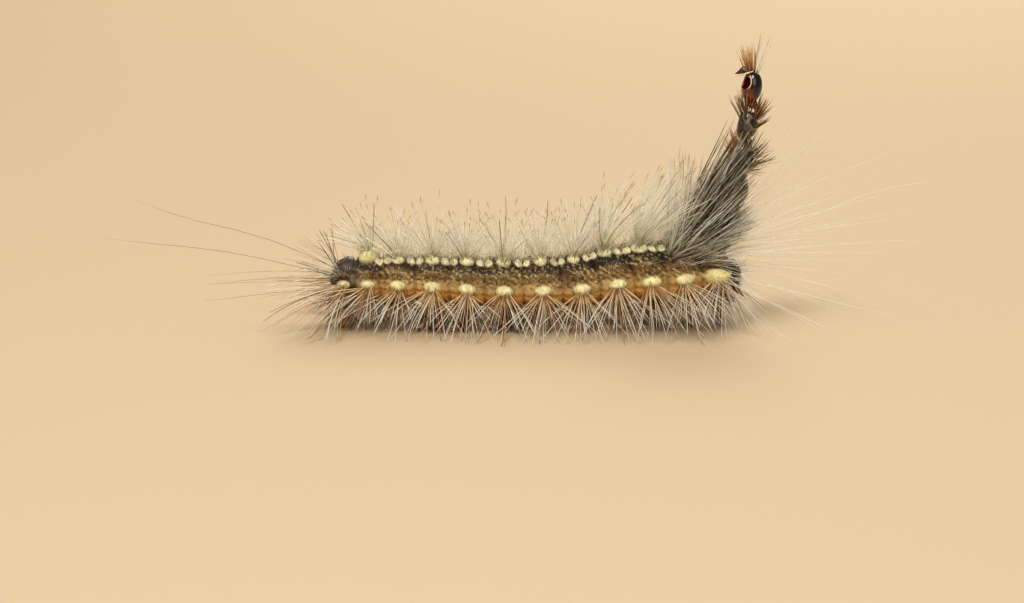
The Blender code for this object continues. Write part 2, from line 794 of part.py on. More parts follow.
def neck_clearance():
    """The prothorax and what lies before it, grown by the gap, to seat the lowest shed head on it."""
    bm = bmesh.new()
    bmesh.ops.create_cone(bm, cap_ends=True, segments=24, radius1=1, radius2=1, depth=1)
    radius = body_radius(18.9 * MM) + NODE_GAP
    low, high = 16 * MM, 23 * MM
    for vert in bm.verts:
        s = low + (high - low) * (vert.co.z + 0.5)
        out = Vector((0, vert.co.x, vert.co.y)).normalized()
        vert.co = Vector((s, 0, axis_height(19 * MM))) + out * radius
    return bm


# Legs

def ring(centre, radius, height, sides=LEG_SIDES):
    """A level ring of points; height is a number or a function of the point's place."""
    points = []
    for k in range(sides):
        turn = 2 * math.pi * k / sides
        s, y = centre[0] + radius * math.cos(turn), centre[1] + radius * math.sin(turn)
        points.append(Vector((s, y, height(s, y) if callable(height) else height)))
    return points


def under_body(s, y):
    return belly_height(s, y) - NODE_GAP


def build_prolegs(collection, paint):
    """Stubby legs with a flared, flat sole, in pairs."""
    for name in (*PROLEG_SEGMENTS, "anal_segment"):
        start, end = SPANS[name]
        anal = name == "anal_segment"
        s = ANAL_PROLEG_PLACE if anal else (start + end) / 2
        offset = ANAL_PROLEG_OFFSET if anal else PROLEG_OFFSET
        foot = s - ANAL_PROLEG_REACH if anal else s
        radius = ANAL_PROLEG_RADIUS if anal else PROLEG_RADIUS
        for side, word in ((1, "left"), (-1, "right")):
            y = side * offset
            tall = under_body(s, y)
            rings = [
                ring((foot, y * FOOT_SPREAD), radius * 0.92, 0.0),
                ring((foot, y * FOOT_SPREAD), radius * 0.96, 0.12 * MM),
                ring((foot * 0.6 + s * 0.4, y * 1.08), radius * 0.78, 0.36 * tall),
                ring((s, y), radius, under_body),
                [Vector((s, y, tall))],
            ]
            node = f"anal_proleg_{word}" if anal else f"proleg_{name[-1]}_{word}"
            made = object_of(loft(rings), node, collection)
            made.data.materials.append(paint["proleg"])


def build_legs(collection, paint):
    """Jointed legs of the three thorax segments, each ending in a small flat claw tip."""
    for number, name in enumerate(reversed(LEG_SEGMENTS), 1):
        start, end = SPANS[name]
        s = (start + end) / 2 + (0.1 * MM if name == "prothorax" else 0)
        for side, word in ((1, "left"), (-1, "right")):
            y = side * LEG_OFFSET
            tall = under_body(s, y)
            knee, shin, foot = ((s + ahead, side * out) for ahead, out in (LEG_KNEE, LEG_SHIN, LEG_FOOT))
            rings = [
                ring(foot, LEG_RADIUS * 0.42, 0.0),
                ring(foot, LEG_RADIUS * 0.55, 0.10 * MM),
                ring(shin, LEG_RADIUS * 0.70, 0.36 * tall),
                ring(shin, LEG_RADIUS * 0.86, 0.42 * tall),
                ring(knee, LEG_RADIUS * 0.84, 0.68 * tall),
                ring(knee, LEG_RADIUS * 0.98, 0.76 * tall),
                ring((s, y), LEG_RADIUS, under_body),
                [Vector((s, y, tall))],
            ]
            made = object_of(loft(rings), f"leg_{number}_{word}", collection)
            made.data.materials.append(paint["leg"])


def obstacles():
    """{node: test of beads} for every node that spines have to clear."""
    hard = {name: touches_body(start, end) for name, (start, end) in SPANS.items()}
    hard["head"] = touches_ball(HEAD_CENTRE, HEAD_RADII * 1.04)
    for number in range(len(SHED_HEADS)):
        centre, radii, lean = shed_frame(number)
        turn = Matrix.Rotation(math.radians(lean), 4, "Y")
        hard[f"shed_head_{number + 1}"] = touches_ball(centre, radii * 1.03, turn)
    for name in PROLEG_SEGMENTS:
        start, end = SPANS[name]
        foot = ((start + end) / 2, PROLEG_OFFSET * FOOT_SPREAD)
        hard[f"proleg_{name}"] = touches_post(foot, PROLEG_RADIUS, PROLEG_HEIGHT)
    for name in LEG_SEGMENTS:
        start, end = SPANS[name]
        foot = ((start + end) / 2 + LEG_SHIN[0], LEG_FOOT[1])
        hard[f"leg_{name}"] = touches_post(foot, LEG_RADIUS, LEG_HEIGHT)
    foot = (ANAL_PROLEG_PLACE - ANAL_PROLEG_REACH, ANAL_PROLEG_OFFSET * FOOT_SPREAD)
    hard["proleg_anal"] = touches_post(foot, ANAL_PROLEG_RADIUS, PROLEG_HEIGHT)
    return hard


def centre_box(collection):
    """Moves the finished meshes so that the origin is under the middle of the box."""
    low, high = Vector((1, 1, 1)), Vector((-1, -1, -1))
    for made in collection.objects:
        for vert in made.data.vertices:
            low = Vector(map(min, low, vert.co))
            high = Vector(map(max, high, vert.co))
    shift = Matrix.Translation((-(low.x + high.x) / 2, -(low.y + high.y) / 2, 0))
    for made in collection.objects:
        made.data.transform(shift)


def main():
    for old in list(bpy.data.objects):
        bpy.data.objects.remove(old)
    collection = bpy.data.collections.new("gum_leaf_skeletonizer_larva")
    bpy.context.scene.collection.children.link(collection)
    paint = {
        "skin": material("hairy_skin", (0.42, 0.31, 0.15), 0.6),
        "tail": material("tail_skin", (0.16, 0.13, 0.11), 0.55),
        "head": material("head_shell", (0.05, 0.03, 0.02), 0.3),
        "shed": material("shed_shell", (0.10, 0.04, 0.02), 0.25),
        "leg": material("leg_shell", (0.20, 0.12, 0.06), 0.35),
        "proleg": material("proleg_skin", (0.55, 0.42, 0.22), 0.55),
    }
    draw = random.Random(SEED)
    planner = Planner(obstacles())
    crowns = plan_crowns(planner, draw)
    long_hairs = plan_long_hairs(planner, draw)
    tufts = plan_tufts(planner, draw)
    build_segments(tufts, long_hairs, collection, paint)
    build_head(collection, paint)
    build_shed_heads(crowns, collection, paint)
    build_prolegs(collection, paint)
    build_legs(collection, paint)
    centre_box(collection)


main()
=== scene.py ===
"""Looks of the gum leaf skeletonizer larva: skin, warts, hair, head, legs and shed head shells.

Shapes are worked out in millimetres, as (s, y, z): s runs from the tail to the head, y to the larva's
left and z up from the floor. They turn into metres of the frame when a mesh is made.
"""
from collections import namedtuple
import math

import bpy
import numpy as np
from mathutils import Matrix, Vector


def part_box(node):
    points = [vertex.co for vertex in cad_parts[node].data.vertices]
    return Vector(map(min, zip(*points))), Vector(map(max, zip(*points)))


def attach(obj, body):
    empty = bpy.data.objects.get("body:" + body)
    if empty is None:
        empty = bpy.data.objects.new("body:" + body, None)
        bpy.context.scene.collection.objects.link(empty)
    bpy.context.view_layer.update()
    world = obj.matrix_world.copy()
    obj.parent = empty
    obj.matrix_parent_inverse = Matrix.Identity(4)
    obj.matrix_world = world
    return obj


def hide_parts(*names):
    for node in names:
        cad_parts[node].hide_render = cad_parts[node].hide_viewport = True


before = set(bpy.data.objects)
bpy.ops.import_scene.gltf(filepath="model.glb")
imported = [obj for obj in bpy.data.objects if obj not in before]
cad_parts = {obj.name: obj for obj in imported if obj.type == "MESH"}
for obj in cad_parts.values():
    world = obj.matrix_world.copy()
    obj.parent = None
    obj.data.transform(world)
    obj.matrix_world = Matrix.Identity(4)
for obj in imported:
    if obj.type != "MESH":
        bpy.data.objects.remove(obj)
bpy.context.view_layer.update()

MM = 0.001

# Body segments from the tail to the head, with their lengths
SEGMENTS = (
    ("anal_segment", 1.15), ("abdomen_8", 1.25), ("abdomen_7", 1.75), ("abdomen_6", 1.70),
    ("abdomen_5", 1.75), ("abdomen_4", 1.95), ("abdomen_3", 1.95), ("abdomen_2", 1.85),
    ("abdomen_1", 1.70), ("metathorax", 1.65), ("mesothorax", 1.70), ("prothorax", 1.10),
)
RADIUS_KNOTS = ((0, 0.42), (0.25, 0.80), (0.7, 1.00), (2.0, 1.16), (5, 1.28), (9, 1.39), (12.4, 1.44),
                (16, 1.62), (17.5, 1.56), (18.9, 1.32), (19.5, 1.18))
AXIS_KNOTS = ((0, 2.30), (2, 2.38), (5, 2.30), (8.6, 2.12), (12.2, 2.22), (14.3, 2.53), (17.5, 2.78),
              (19.5, 2.90))
LEAN_BACK_KNOTS = (  # how far the top of a ring lies behind its sides
    (0, 0), (8.6, 0.05), (10.5, 0.20), (12.4, 0.50), (14.2, 0.79), (15.9, 0.73), (17.5, 0.62),
    (18.7, 0.42), (19.5, 0.12),
)
SKIN_SHARE = 0.975  # the skin lies this far out on the solids' radius
PROLEG_SEGMENTS = ("abdomen_4", "abdomen_5", "abdomen_6")
LEG_SEGMENTS = ("prothorax", "mesothorax", "metathorax")
PROLEG_OFFSET, PROLEG_RADIUS = 0.64, 0.44
ANAL_PROLEG = (0.80, 0.46, 0.36)  # place along s, offset and radius
# Shed head shells, the oldest first: centre (s, z), height, depth, width, forward lean and yaw
SHED_SIZES = (
    ((20.78, 11.95), 1.72, 1.00, 1.18, 8, 20),
    ((20.56, 10.05), 1.66, 1.12, 1.26, 12, -8),
    ((20.31, 8.45), 1.76, 1.22, 1.40, 14, 7),
    ((20.02, 6.82), 1.92, 1.36, 1.52, 16, -5),
    ((19.62, 5.12), 2.02, 1.50, 1.66, 20, 4),
)
EDGES = np.cumsum([0.0] + [length for _, length in SEGMENTS])
SPANS = {name: EDGES[i:i + 2] for i, (name, _) in enumerate(SEGMENTS)}
BODY_LENGTH, BORDERS = EDGES[-1], EDGES[1:-1]
BOTH_SIDES = ((1, "left"), (-1, "right"))


def middle(name):
    """Middle of a segment along s."""
    return sum(SPANS[name]) / 2


MIDDLE_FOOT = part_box("proleg_5_left")
ORIGIN_S = middle("abdomen_5") - (MIDDLE_FOOT[0].x + MIDDLE_FOOT[1].x) / 2 / MM


# Numbers along curves, colours and noise

def through(knots, places):
    """Values at places on a smooth curve through (place, value) knots."""
    spots, values = np.array(knots, float).T
    places = np.clip(np.asarray(places, float), spots[0], spots[-1])
    ahead = np.minimum(np.arange(len(spots)) + 1, len(spots) - 1)
    behind = np.maximum(np.arange(len(spots)) - 1, 0)
    slopes = (values[ahead] - values[behind]) / (spots[ahead] - spots[behind])
    i = np.clip(np.searchsorted(spots, places, side="right") - 1, 0, len(spots) - 2)
    span = spots[i + 1] - spots[i]
    t = (places - spots[i]) / span
    rise = (2 * t**3 - 3 * t**2 + 1) * values[i] + (3 * t**2 - 2 * t**3) * values[i + 1]
    return rise + span * ((t**3 - 2 * t**2 + t) * slopes[i] + (t**3 - t**2) * slopes[i + 1])


def at(knots, place):
    """One value on a smooth curve, as a plain number."""
    return float(through(knots, place))


def ease(low, high, value):
    """0 below low, 1 above high and smooth between; the other way round where low is above high."""
    t = np.clip((np.asarray(value, float) - low) / (high - low), 0, 1)
    return t * t * (3 - 2 * t)


def bell(value, width):
    return np.exp(-(np.asarray(value, float) / width) ** 2)


def rgb(code):
    """Linear colour from a display colour of the form 0xRRGGBB."""
    share = np.array((code >> 16, code >> 8 & 255, code & 255)) / 255
    return np.where(share <= 0.04045, share / 12.92, ((share + 0.055) / 1.055) ** 2.4)


def mix(first, second, share):
    return first + (second - first) * np.asarray(share, float)[..., None]


def painted(colour, *layers):
    """A colour under layers of (colour, share), the lowest first."""
    for tone, share in layers:
        colour = mix(colour, tone, share)
    return colour


def noise(points, size, seed, waves=14):
    """Smooth noise of about -1 to 1 whose lumps are about size across."""
    draw = np.random.default_rng(seed)
    total = np.zeros(points.shape[:-1])
    for _ in range(waves):
        way = draw.normal(size=3)
        way *= 2.4 * draw.uniform(0.7, 1.5) / (size * np.linalg.norm(way))
        total += np.sin(points @ way + draw.uniform(0, 2 * math.pi))
    return total / math.sqrt(waves)


def normal_of(vectors):
    return vectors / np.maximum(np.linalg.norm(vectors, axis=-1, keepdims=True), 1e-9)


def circle(count):
    """count angles evenly round a circle."""
    return np.arange(count) * 2 * math.pi / count


# Skin shape

def axis_points(s):
    s = np.asarray(s, float)
    return np.stack((s, np.zeros_like(s), through(AXIS_KNOTS, s)), -1)


def outward(theta):
    """Unit vectors square to the axis at an angle from the top in radians, left where positive."""
    theta = np.asarray(theta, float)
    return np.stack((np.zeros_like(theta), np.sin(theta), np.cos(theta)), -1)


# A raised, haired knob of the skin: side is 1 on the left and -1 on the right, theta its angle from the top
# in radians, and lean how far its top stands forward for each mm of its height
Wart = namedtuple("Wart", "kind side s theta half_length half_width height lean")


def wart_share(s):
    """Warts are full size along the trunk and smaller on the tail."""
    return at(((0, 0.74), (3, 0.90), (5, 1.0), (19.5, 1.0)), s)


def plan_warts():
    """Every wart and pale spot: four rows a side, and small spots between the warts of the top row."""
    warts = []

    def pair(kind, s, angle, sizes, share=1.0, lean=0.0):
        """A wart on both sides. sizes are half its length, half its width and its height."""
        sizes = [size * share for size in sizes]
        for side in (1, -1):
            warts.append(Wart(kind, side, s, side * math.radians(angle), *sizes, lean))

    for name in SPANS:
        s, thorax = middle(name), name in LEG_SEGMENTS
        share = wart_share(s)
        if name == "abdomen_8":
            pair("tail_dorsal", s, 25, (0.46, 0.34, 0.60))
        elif name == "anal_segment":
            pair("tail_knob", s, 40, (0.18, 0.16, 0.10))
        else:
            pair("dorsal", s, 32, (0.41 if thorax else 0.38, 0.29, 0.30), share)
        pair("subdorsal", s, 67, (0.19, 0.17, 0.14), share)
        if name == "prothorax":
            pair("neck", s, 97, (0.62, 0.40, 0.66), lean=0.72)
        else:
            pair("lateral", s, 98, (0.50 if thorax else 0.45, 0.31, 0.40), share)
        pair("subventral", s, 132, (0.22, 0.19, 0.18), share)
        if thorax:
            pair("coxa", s, 157, (0.36, 0.32, 0.10))
    for border in BORDERS[1:-1]:
        past_knob = 0.16 if border < 3 else 0.0
        for side in (1, -1):
            for along, size in ((-0.21, 0.22), (0.22, 0.21)):
                warts.append(Wart("spot", side, border + along + past_knob, side * math.radians(32),
                                  size, size * 1.15, 0.15, 0.0))
    return warts


WARTS = plan_warts()


def wart_rise(s, theta):
    """Height of the warts, how far up its wart each point is (0 to 1), and the wart's number."""
    rise, share = np.zeros(s.shape), np.zeros(s.shape)
    owner = np.full(s.shape, -1)
    radius = through(RADIUS_KNOTS, s)
    for number, wart in enumerate(WARTS):
        near = np.abs(s - wart.s) < wart.half_length * 1.3
        along = (s[near] - wart.s) / wart.half_length
        across = radius[near] * (theta[near] - wart.theta) / wart.half_width
        square = along**2 + across**2
        dome = np.clip(1 - square, 0, None) ** 0.55
        foot = 0.16 * bell(np.sqrt(square), 1.05)
        height = wart.height * np.maximum(dome, foot)
        higher = height > rise[near]
        spots = np.flatnonzero(near.ravel())[higher.ravel()]
        rise.ravel()[spots] = height[higher]
        share.ravel()[spots] = (dome * (square < 1))[higher]
        owner.ravel()[spots] = number
    return rise, share, owner


def folds(s, theta):
    """Change of the skin's radius by segment borders, rings, side folds and wrinkles."""
    i = np.clip(np.searchsorted(EDGES, s) - 1, 0, len(SEGMENTS) - 1)
    length = EDGES[i + 1] - EDGES[i]
    t = (s - EDGES[i]) / length
    angle = np.degrees(np.abs(theta))
    change = -0.10 * through(RADIUS_KNOTS, s) * np.abs(2 * t - 1) ** 3
    change -= 0.07 * bell(from_border(s), 0.06)
    places = np.stack((s * 2.2, np.sin(theta) * 2, np.cos(theta) * 2), -1)
    wander = 0.03 * noise(places, 1.1, 21)
    for place in (0.30, 0.70):
        change -= 0.045 * bell((t - place) * length + wander, 0.05) * ease(20, 50, angle)
    for place, depth in ((82, 0.05), (114, 0.07), (145, 0.05)):
        change -= depth * bell(angle - place - 60 * wander, 4.5)
    wrinkles = np.stack((s, np.sin(theta) * 0.5, np.cos(theta) * 0.5), -1)
    change += 0.014 * noise(wrinkles, 0.16, 22, 24) + 0.012 * noise(wrinkles, 0.4, 23)
    return change - 0.05 * ease(140, 180, angle)


def from_border(s):
    """Distance to the nearest segment border."""
    return np.abs(s[..., None] - BORDERS).min(-1)


def feet():
    """(s, y, s of the sole, radius) of each proleg."""
    for side in (1, -1):
        for name in PROLEG_SEGMENTS:
            s = middle(name)
            yield s, side * PROLEG_OFFSET, s, PROLEG_RADIUS
        s, offset, radius = ANAL_PROLEG
        yield s, side * offset, s - 0.16, radius


FOOT_REACH = ((0, 0), (0.30, 0.74), (0.40, 0.92), (0.52, 0.80), (0.72, 0.76), (1.0, 1.35))
FOOT_HEIGHT = ((0, 0.015), (0.30, 0.0), (0.36, 0.02), (0.42, 0.10), (0.60, 0.42), (1.0, 1.0))


def draw_feet(points, s, theta):
    """Pulls the skin down into the prolegs: a stub with a flat sole under each."""
    for place, y, foot, radius in feet():
        trunk = at(RADIUS_KNOTS, place)
        theta_foot = math.copysign(math.pi - math.asin(abs(y) / trunk), y)
        along = s - place
        across = trunk * (theta - theta_foot)
        reach = radius * 1.35
        near = np.hypot(along, across) < reach
        w = np.hypot(along[near], across[near]) / reach
        turn = np.arctan2(-across[near] * np.sign(y), along[near])
        top = points[near]
        out, tall = through(FOOT_REACH, w) * radius, through(FOOT_HEIGHT, w)
        middle_s = foot + (place - foot) * tall
        rings = 1 + 0.05 * np.sin(tall * 22) * ease(0.1, 0.2, tall)
        stub = np.stack((middle_s + out * rings * np.cos(turn),
                         y * (1 + 0.08 * (1 - tall)) + np.sign(y) * out * rings * np.sin(turn),
                         top[:, 2] * tall), -1)
        points[near] = mix(stub, top, ease(0.80, 1.0, w))
    return points


def skin_points(s, theta, radius):
    points = axis_points(s) + outward(theta) * radius[..., None]
    points[..., 0] -= through(LEAN_BACK_KNOTS, s) * np.maximum(np.cos(theta), 0)
    return points


def surface(s, theta, bare=False):
    """Points of the skin at s and angles from the top in radians; bare leaves out warts and prolegs."""
    s, theta = np.broadcast_arrays(np.asarray(s, float), np.asarray(theta, float))
    radius = through(RADIUS_KNOTS, s) * SKIN_SHARE + folds(s, theta)
    if bare:
        return skin_points(s, theta, radius)
    rise, _, owner = wart_rise(s, theta)
    points = skin_points(s, theta, radius + rise)
    points[..., 0] += rise * np.array([wart.lean for wart in WARTS])[owner]
    return draw_feet(points, s, theta)


# Skin colour

# From 102 to 124 degrees the amber is partly the skin's own colour and partly painted light, painted paler
# to lift the shade under the side.
BANDS = (  # angle from the top and the colour of the skin there
    (0, 0x705A3A), (7, 0x968256), (14, 0x42311F), (24, 0x483622), (38, 0x322315),
    (50, 0x2A1C11), (57, 0x483620), (66, 0x705734), (78, 0x886C42),
    (88, 0x9E8050), (94, 0xBC9C64), (102, 0xDCBA78), (111, 0xECC076),
    (124, 0xE4A24C), (142, 0x9C6C34), (180, 0x684E30),
)
WART_COLOURS = {
    "dorsal": 0xF8F4C6, "tail_dorsal": 0xF2EEB8, "spot": 0xF6F0CC,
    "subdorsal": 0x886E4C, "lateral": 0xE8E1AE, "neck": 0xDED296,
    "subventral": 0xD4B478, "coxa": 0xA0703A, "tail_knob": 0x60584E,
}


def skin_colour(s, theta):
    """Colour of the skin by its bands, blotches and warts, with the amber of the lower side painted lighter
    as painted light.
    """
    points = axis_points(s) + outward(theta) * through(RADIUS_KNOTS, s)[..., None]
    angle = np.degrees(np.abs(theta))
    wavy = angle + 4.0 * noise(points, 0.7, 31) + 1.5 * noise(points, 0.25, 32)
    stops, tones = zip(*BANDS)
    colour = np.stack([np.interp(wavy, stops, column) for column in zip(*map(rgb, tones))], -1)
    side = ease(46, 58, angle) * ease(100, 90, angle)
    band = ease(11.5, 14.5, s) * bell(wavy - 46, 13)
    blotch = bell(s - 15.5, 1.0) * ease(54, 62, wavy) * ease(84, 74, wavy)
    fleck = ease(0.4, 1.1, noise(points, 0.09, 34, 44) + 0.4 * noise(points, 0.6, 39))
    fleck = fleck * (0.5 + 0.5 * ease(50, 62, angle)) * ease(36, 44, angle) * ease(104, 96, angle)
    back = ease(6, 10, angle) * ease(30, 22, angle)
    amber_with_painted_light = ease(104, 116, angle) * ease(150, 135, angle)
    chest = ease(17.2, 18.6, s) * ease(92, 74, angle)
    tail = ease(1.75, 0.95, s) * ease(150, 105, angle)
    grey = mix(rgb(0x3A322A), rgb(0x88765C), ease(0.1, 0.9, noise(points, 0.2, 37, 24)))
    _, share, owner = wart_rise(s, theta)
    wart_tones = np.array([rgb(WART_COLOURS[wart.kind]) for wart in WARTS])
    speck = 1 + 0.07 * noise(points, 0.12, 38)
    return painted(
        colour,
        (rgb(0x261A12), 0.68 * ease(0.0, 0.8, noise(points, 0.10, 33, 44)) * side),
        (rgb(0x1A130E), 0.8 * band),
        (rgb(0x1E150F), 0.8 * blotch * ease(-0.4, 0.5, noise(points, 0.35, 40))),
        (rgb(0xCAB278), 0.75 * fleck),
        (rgb(0xC4B680), 0.7 * ease(0.5, 1.0, noise(points, 0.2, 35, 22)) * back),
        # The amber of the lower side is painted brighter than its own colour, as painted light against the
        # shade there.
        (rgb(0xD08432), 0.5 * ease(-0.2, 0.9, noise(points, 0.3, 36)) * amber_with_painted_light),
        (rgb(0x000000), 0.30 * bell(from_border(s), 0.07) * ease(150, 120, angle)),
        (rgb(0x2E231A), 0.75 * chest),
        (grey, 0.9 * tail),
        (wart_tones[owner] * speck[..., None], ease(0.05, 0.45, share)),
        (rgb(0xB28448), 0.6 * ease(1.0, 0.45, surface(s, theta)[..., 2])),
    )


# Meshes

class Shape:
    """Points, faces and point colours of one piece that is being put together."""

    def __init__(self):
        self.points, self.tones, self.faces, self.count = [], [], [], 0

    def add(self, points, faces, tone):
        points = np.asarray(points, float).reshape(-1, 3)
        tone = np.broadcast_to(np.asarray(tone, float), points.shape)
        self.points.append(points)
        self.tones.append(tone)
        self.faces += [[self.count + i for i in face] for face in faces]
        self.count += len(points)

    def rings(self, rings, tone):
        """Closed surface over rings of the same number of points, with a middle point at both ends. tone
        is one colour, or one for each ring or point."""
        def capped(grid):
            return np.concatenate((grid.reshape(-1, 3), grid[:1].mean(1), grid[-1:].mean(1)))

        rings = np.asarray(rings, float)
        rows, columns = rings.shape[:2]
        first, last, tail = rows * columns, rows * columns + 1, (rows - 1) * columns
        faces = grid_faces(rows, columns)
        for k in range(columns):
            n = (k + 1) % columns
            faces += [(first, n, k), (last, tail + k, tail + n)]
        self.add(capped(rings), faces, capped(np.broadcast_to(tone, rings.shape)))

    def tube(self, points, knots, scale, tone, rows, sides, squash=1.0):
        """A tube along a smooth curve through points. knots are (share of its length, radius), scale is
        the unit of the radius, and squash changes the radius one way."""
        shares = np.linspace(0, 1, rows)
        path = np.stack([through(list(enumerate(column)), shares * (len(points) - 1))
                         for column in np.transpose(points)], -1)
        radii = through(knots, shares)[:, None, None] * scale
        ahead = normal_of(np.gradient(path, axis=0))
        across = normal_of(np.cross(ahead, (0.13, 0.31, 0.94)))
        turns = circle(sides)[:, None]
        self.rings(path[:, None] + across[:, None] * (np.cos(turns) * radii)
                   + np.cross(ahead, across)[:, None] * (np.sin(turns) * radii * squash), tone)


def grid_faces(rows, columns, wrap=True):
    across = np.arange(columns if wrap else columns - 1)
    down = np.arange(rows - 1)[:, None] * columns
    ahead = (across + 1) % columns
    quads = np.stack((down + across, down + ahead, down + columns + ahead, down + columns + across), -1)
    return quads.reshape(-1, 4).tolist()


def make_mesh(name, points, faces, tones, material, replaced=(), spots=None):
    """A piece from points in mm, riding on the body, with colours in the attribute named tone."""
    metres = (np.asarray(points, float) - (ORIGIN_S, 0, 0)) * MM
    mesh = bpy.data.meshes.new(name)
    mesh.from_pydata(metres.tolist(), [], faces)
    colours = mesh.color_attributes.new("tone", "FLOAT_COLOR", "POINT")
    rgba = np.ones((len(metres), 4))
    rgba[:, :3] = np.clip(tones, 0, 1)
    colours.data.foreach_set("color", rgba.ravel())
    if spots is not None:
        corners = np.zeros(len(mesh.loops), int)
        mesh.loops.foreach_get("vertex_index", corners)
        unwrap = mesh.uv_layers.new(name="OFBake")
        unwrap.data.foreach_set("uv", np.asarray(spots, float)[corners].ravel())
    mesh.validate()
    mesh.shade_smooth()
    mesh.materials.append(material)
    piece = bpy.data.objects.new(name, mesh)
    bpy.context.scene.collection.objects.link(piece)
    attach(piece, "root")
    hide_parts(*replaced)


def make_piece(name, shape, material, replaced=()):
    points, tones = map(np.concatenate, (shape.points, shape.tones))
    make_mesh(name, points, shape.faces, tones, material, replaced)


def turned(vectors, lean, yaw=0.0):
    """Vectors leaned forward about y and yawed about z, in degrees."""
    turn = Matrix.Rotation(math.radians(yaw), 3, "Z") @ Matrix.Rotation(math.radians(lean), 3, "Y")
    return np.asarray(vectors, float) @ np.array(turn).T


# Materials

def new_material(name):
    made = bpy.data.materials.new(name)
    made.use_nodes = True
    return made, made.node_tree, made.node_tree.nodes["Principled BSDF"]


def feed(tree, node, **inputs):
    """Sets or links the sockets of a node. A socket's name has _ for each space."""
    for name, value in inputs.items():
        socket = node.inputs[name.replace("_", " ")]
        if isinstance(value, bpy.types.NodeSocket):
            tree.links.new(value, socket)
        else:
            socket.default_value = value
    return node


def toned(name, grain, contrast, rough, bump=0.0, bump_grain=0.0, **constants):
    """A material coloured by the attribute named tone, with grain in its colour, gloss and relief."""
    made, tree, shader = new_material(name)

    def node(kind, **inputs):
        return feed(tree, tree.nodes.new("ShaderNode" + kind), **inputs)

    def grains(scale, detail):
        place = node("TexCoord").outputs["Object"]
        return node("TexNoise", Vector=place, Scale=scale, Detail=detail).outputs["Fac"]

    def between(low, high):
        return node("MapRange", Value=texture, From_Min=0.3, From_Max=0.7, To_Min=low,
                    To_Max=high).outputs["Result"]

    texture = grains(grain, 3.0)
    tone, shade = node("Attribute"), node("VectorMath")
    tone.attribute_name, shade.operation = "tone", "SCALE"
    feed(tree, shade, Vector=tone.outputs["Color"], Scale=between(1 - contrast, 1 + contrast))
    feed(tree, shader, Base_Color=shade.outputs["Vector"], Roughness=between(*rough), **constants)
    if bump:
        relief = node("Bump", Strength=0.6, Distance=bump * MM, Height=grains(bump_grain, 4.0))
        feed(tree, shader, Normal=relief.outputs["Normal"])
    return made


SKIN = toned("larva_skin", 7000, 0.22, (0.55, 0.75), 0.02, 11000, Subsurface_Weight=0.10,
             Subsurface_Scale=0.0002, Specular_IOR_Level=0.18)
HAIR = toned("hair", 2500, 0.08, (0.30, 0.45), Subsurface_Weight=0.7, Subsurface_Scale=0.0002,
             Subsurface_Radius=(1.0, 0.85, 0.65), Specular_IOR_Level=0.28)
BRISTLE = toned("bristles", 3000, 0.14, (0.22, 0.36), Specular_IOR_Level=0.6)
HEAD_SHELL = toned("head_shell", 5000, 0.25, (0.14, 0.26), 0.012, 16000, Coat_Weight=0.4)
SHED_SHELL = toned("shed_shell", 3500, 0.30, (0.12, 0.28), 0.008, 9000, Coat_Weight=0.25,
                   Coat_Roughness=0.08, Specular_IOR_Level=0.4)
LEG_SHELL = toned("leg_shell", 6000, 0.2, (0.24, 0.40), 0.01, 14000)
PLATE = toned("body_plates", 7000, 0.12, (0.24, 0.34), 0.006, 15000)
EYE = toned("eyes", 4000, 0.1, (0.04, 0.08), Coat_Weight=1.0)


# Skin piece

SKIN_ROWS, SKIN_COLUMNS = 470, 176
CAP = np.sin(np.linspace(0.08, 0.96, 8) * math.pi / 2)  # radius shares of the rings of an end cap
CAP_DEPTHS = (0.14, 0.30)  # at the tail and at the neck


def build_skin():
    """One closed skin over all the segments and prolegs."""
    s = np.linspace(0, BODY_LENGTH, SKIN_ROWS)[:, None]
    theta = (np.arange(SKIN_COLUMNS) / SKIN_COLUMNS * 2 - 1)[None, :] * math.pi
    s, theta = np.broadcast_arrays(s, theta)
    points, tones = surface(s, theta), skin_colour(s, theta)
    caps = []
    for row, way, depth in zip((0, -1), (-1, 1), CAP_DEPTHS):
        centre = axis_points(s[row, 0])
        cap = centre + (points[row] - centre) * CAP[:, None, None]
        cap[..., 0] += way * depth * np.sqrt(1 - CAP**2)[:, None]
        caps.append((cap, np.broadcast_to(tones[row], cap.shape)))
    shape = Shape()
    shape.rings(*(np.concatenate((tail, trunk, neck[::-1]))[:, ::-1]
                  for tail, trunk, neck in zip(caps[0], (points, tones), caps[1])))
    fleshy = [name for name, _ in SEGMENTS]
    for _, side in BOTH_SIDES:
        fleshy += [f"proleg_{name[-1]}_{side}" for name in PROLEG_SEGMENTS] + [f"anal_proleg_{side}"]
    make_piece("skin", shape, SKIN, fleshy)


